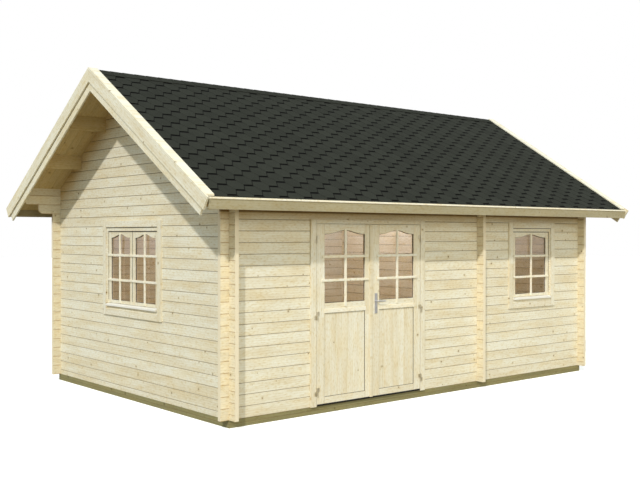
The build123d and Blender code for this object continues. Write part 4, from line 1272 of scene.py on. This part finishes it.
class Cabin_OT_windows(bpy.types.Operator):
    """Finish the window frames, sashes, sills and glass, and fit beads and glazing bars"""

    bl_idname = "cabin.windows"
    bl_label = "Windows"

    bar_below, gable_lap_short, pane_back, bead_back = 0.028, 0.004, -0.0161, -0.0205
    head_shade_seal = [(-0.007, 0.0), (-0.0002, 0.0), (-0.0002, 0.011), (-0.002, 0.011), (-0.007, 0.004)]
    sash_seal = [(-0.006, 0), (0.0035, 0), (0.0035, 0.003), (-0.004, 0.003)]
    sash_seal_short, side_seal, side_seal_down = 0.0005, 0.0028, 0.006

    def execute(self, context):
        joinery = context.scene.cabin_joinery
        tones = (joinery.pale, context.scene.cabin_timber.deep)
        bars = finish_pine("pine_window_bars", board_place, (joinery.bar, joinery.pale))
        # The second finish, dark, is partly painted shade round the panes and sashes and under the head
        # casings
        finishes = [bars, finish_paint("window_gasket_and_shade", joinery.gasket)]
        self.front(joinery, tones, finishes)
        self.gable(joinery, tones, finishes)
        dress(finish_glass("window_glass"), "front_window_glass", "gable_window_glass")
        dress(finish_paint("primed_sills", joinery.sill), "window_sills")
        return {"FINISHED"}

    def front(self, joinery, tones, finishes):
        """The single window beside the doors."""
        low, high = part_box("front_window_frame")
        middle, wide = (low.x + high.x) / 2, high.x - low.x
        inner = wide / 2 - CASING_WIDTH
        dress_members("front_window_frame", tones, 0, middle, inner, WINDOW_SPLIT, shade=0)
        sash_low, sash_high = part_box("front_window_sash")
        middle, half = (sash_low.x + sash_high.x) / 2, (sash_high.x - sash_low.x) / 2
        dress_members("front_window_sash", tones, 0, middle, half - SASH_STILE, WINDOW_SPLIT)
        pile, near = Pile(91), Vector((0, -1, 0))
        self.glaze(pile, joinery, lambda u, out, z: Vector((u, sash_low.y - out, z)), near,
                   sash_low.x + SASH_STILE, sash_high.x - SASH_STILE, FRONT_BARS, joinery.bar_lap)
        self.seal(pile, (low.x + CASING_WIDTH, low.y + STRIP_SUNK, high.z - CASING_HEAD),
                  wide - 2 * CASING_WIDTH, Vector((1, 0, 0)), near)
        pile.piece("front_window_bars", finishes, "cabin", "window_pine")

    def gable(self, joinery, tones, finishes):
        """The double window in the left gable."""
        low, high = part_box("gable_window_frame")
        dress_members("gable_window_frame", tones, 1, 0.0, high.y - CASING_WIDTH, WINDOW_SPLIT)
        sash_low, sash_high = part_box("gable_window_sashes")
        sash = sash_high.y / 2
        inner = sash - SASH_STILE
        dress_members("gable_window_sashes", tones, 1, 0.0, inner, WINDOW_SPLIT, shift=sash)
        pile, near = Pile(92), Vector((-1, 0, 0))
        for centre in (-sash, sash):
            self.glaze(pile, joinery, lambda u, out, z: Vector((sash_low.x - out, -u, z)), near,
                       centre - inner, centre + inner, GABLE_BARS, SASH_STILE - self.gable_lap_short)
        self.seal(pile, (low.x + STRIP_SUNK, high.y - CASING_WIDTH, high.z - CASING_HEAD),
                  2 * high.y - 2 * CASING_WIDTH, Vector((0, -1, 0)), near)
        pile.piece("gable_window_bars", finishes, "cabin", "window_pine")

    def seal(self, pile, start, reach, along, near):
        """Dark strip under the head casing, painted shade where the casing stands over the frame."""
        faces, start = len(pile.faces), Vector(start)
        pile.bar(start, start + along * reach, Vector((0, 0, 1)), near, self.head_shade_seal)
        pile.mark(faces, 1)

    def glaze(self, pile, joinery, put, near, start, end, levels, lap):
        """Bars, beads and dark strips of one sash, the strips partly painted shade; put turns elevation
        figures into places.
        """
        middle, up = (start + end) / 2, Vector((0, 0, 1))
        right = put(1, 0, 0) - put(0, 0, 0)
        level, upright = bar_sections(joinery)
        for z in levels:
            pile.bar(put(start - lap, 0, z), put(end + lap, 0, z), up, near, level)
        bottom, crown = SASH_PANE_LOW - self.bar_below, SASH_PANE_SIDE + ARCH_RISE + BAR_OVER
        for z_low, z_high in between(levels, joinery.bar_level, bottom, crown):
            pile.bar(put(middle, 0, z_low), put(middle, 0, z_high), right, near, upright)
        pane = arch_path(start, end, SASH_PANE_LOW, SASH_PANE_SIDE)
        inside = arch_path(start - REBATE, end + REBATE, SASH_PANE_LOW - REBATE, SASH_PANE_SIDE + REBATE)
        # The dark strip round the pane is partly painted shade of the sash reveal
        pieces = ((pane, self.pane_back, 1, GASKET_AND_SHADE, 1), (inside, self.bead_back, -1, BEAD, 0))
        for outline, back, out, size, finish in pieces:
            path = [put(u, back, z) for u, z in outline]
            faces = len(pile.faces)
            pile.bead(path if out > 0 else path[::-1], near * out, quarter(size))
            pile.mark(faces, finish)
        # Dark strips over the sash top and down its sides: painted shade under the frame strip
        faces, foot, top = len(pile.faces), SASH_PANE_LOW, SASH_TOP
        low, high, short = start - SASH_STILE, end + SASH_STILE, self.sash_seal_short
        pile.bar(put(low + short, 0, top), put(high - short, 0, top), up, near, self.sash_seal)
        for u, way in ((low, 1), (high, -1)):
            pile.bar(put(u, 0, foot), put(u, 0, top - self.side_seal_down), right * way, near,
                     quarter(self.side_seal))
        pile.mark(faces, 1)


class Cabin_OT_stage(bpy.types.Operator):
    """Set the pale floor, the lights and the camera"""

    bl_idname = "cabin.stage"
    bl_label = "Stage"

    floor_reach = 60.0
    camera_place, camera_turn = (-7.8356, -9.1545, 1.8644), (89.674, -0.03, -40.071)
    room_lights = (
        ("main_room_light", 1.32, (-0.2, -0.45, 2.65)),
        ("side_room_light", 0.54, (1.65, 0.5, 1.8)),
    )

    def execute(self, context):
        scene, stage = context.scene, context.scene.cabin_stage
        self.floor(scene, stage)
        self.surroundings(scene, stage)
        self.lights(stage)
        self.camera(scene, stage)
        scene.view_settings.view_transform = "Standard"
        return {"FINISHED"}

    def floor(self, scene, stage):
        """A pale floor that gives back a warmer light than the eye sees."""
        mesh = bpy.data.meshes.new("studio_floor")
        reach = self.floor_reach
        mesh.from_pydata([(-reach, -reach, 0), (reach, -reach, 0), (reach, reach, 0), (-reach, reach, 0)], [],
                         [(0, 1, 2, 3)])
        floor = bpy.data.objects.new("studio_floor", mesh)
        scene.collection.objects.link(floor)
        pale, s, shader = new_finish("studio_floor")
        shader.inputs["Roughness"].default_value = 0.9
        shader.inputs["Emission Color"].default_value = (1.0, 1.0, 1.0, 1.0)
        seen = s.add("LightPath").outputs["Is Camera Ray"]
        s.feed(shader.inputs["Base Color"], s.blend(seen, tuple(stage.bounce), tuple(stage.floor)))
        s.feed(shader.inputs["Emission Strength"], s.times(seen, stage.glow))
        mesh.materials.append(pale)

    def surroundings(self, scene, stage):
        """White for the eye and in reflections, and a cool soft light on the cabin."""
        world = bpy.data.worlds.new("pale_surroundings")
        scene.world = world
        world.use_nodes = True
        s = Shade(world.node_tree)
        back = world.node_tree.nodes["Background"]
        rays = s.add("LightPath").outputs
        seen = s.math("MAXIMUM", rays["Is Camera Ray"], rays["Is Glossy Ray"])
        s.feed(back.inputs["Color"], s.blend(seen, (0.85, 0.955, 1.0), (1.0, 1.0, 1.0)))
        s.feed(back.inputs["Strength"], s.scaled(seen, 1.0 - stage.sky, stage.sky))

    def lights(self, stage):
        """A key light, a broad fill light, and a soft light in each room that isn't seen itself."""
        key = self.lamp("key_light", "SUN", stage.sun, Vector((1.0, 0.68, -0.95)), Vector((-12, -8, 11)))
        key.data.angle = math.radians(2.0)
        key.data.color = (1.0, 0.985, 0.96)
        fill = self.lamp("fill_light", "AREA", stage.fill, Vector((0.0, 1.0, -0.25)), Vector((-1, -15, 5)))
        fill.data.color = (1.0, 0.92, 0.76)
        fill.data.shape, fill.data.size, fill.data.size_y = "RECTANGLE", 12.0, 6.0
        hidden = [fill]
        for name, share, where in self.room_lights:
            room = self.lamp(name, "POINT", stage.room * share, Vector((0, 0, -1)), Vector(where))
            room.data.shadow_soft_size = 0.35
            room.data.color = (0.86, 0.94, 1.0)
            hidden.append(room)
        for lamp in hidden:
            lamp.visible_camera = False
            lamp.visible_glossy = False
            lamp.visible_transmission = False

    def camera(self, scene, stage):
        """A standing person's eye off the left front corner."""
        camera = bpy.data.objects.new("camera", bpy.data.cameras.new("camera"))
        camera.data.sensor_fit, camera.data.sensor_width = "HORIZONTAL", 36.0
        camera.data.lens = stage.lens
        camera.location = self.camera_place
        camera.rotation_euler = [math.radians(a) for a in self.camera_turn]
        scene.collection.objects.link(camera)
        scene.camera = camera

    @staticmethod
    def lamp(name, kind, energy, toward, where):
        """A light at a place, turned along a direction."""
        data = bpy.data.lights.new(name, kind)
        data.energy = energy
        made = bpy.data.objects.new(name, data)
        made.location = where
        made.rotation_euler = toward.to_track_quat("-Z", "Y").to_euler()
        bpy.context.scene.collection.objects.link(made)
        return made


OPERATORS = (
    Cabin_OT_walls, Cabin_OT_ground, Cabin_OT_roof_boards, Cabin_OT_shingles, Cabin_OT_trim, Cabin_OT_doors,
    Cabin_OT_ironwork, Cabin_OT_windows, Cabin_OT_stage,
)
SETTINGS = {
    "cabin_timber": CabinTimber, "cabin_roof": CabinRoof, "cabin_joinery": CabinJoinery,
    "cabin_stage": CabinStage,
}


class Cabin_PT_panel(bpy.types.Panel):
    """Buttons and settings of the cabin"""

    bl_idname = "VIEW3D_PT_cabin"
    bl_label = "Log cabin"
    bl_space_type = "VIEW_3D"
    bl_region_type = "UI"
    bl_category = "Cabin"

    def draw(self, context):
        for name, kind in SETTINGS.items():
            box = self.layout.box()
            for key in kind.__annotations__:
                box.prop(getattr(context.scene, name), key)
        for operator in OPERATORS:
            self.layout.operator(operator.bl_idname)


def register():
    for kind in (*SETTINGS.values(), *OPERATORS, Cabin_PT_panel):
        bpy.utils.register_class(kind)
    for name, kind in SETTINGS.items():
        setattr(bpy.types.Scene, name, PointerProperty(type=kind))


def unregister():
    for name in SETTINGS:
        delattr(bpy.types.Scene, name)
    for kind in (Cabin_PT_panel, *reversed(OPERATORS), *SETTINGS.values()):
        bpy.utils.unregister_class(kind)


def main():
    """Build every piece in order."""
    register()
    for operator in OPERATORS:
        getattr(bpy.ops.cabin, operator.bl_idname.split(".")[1])()


if __name__ == "__main__":
    main()
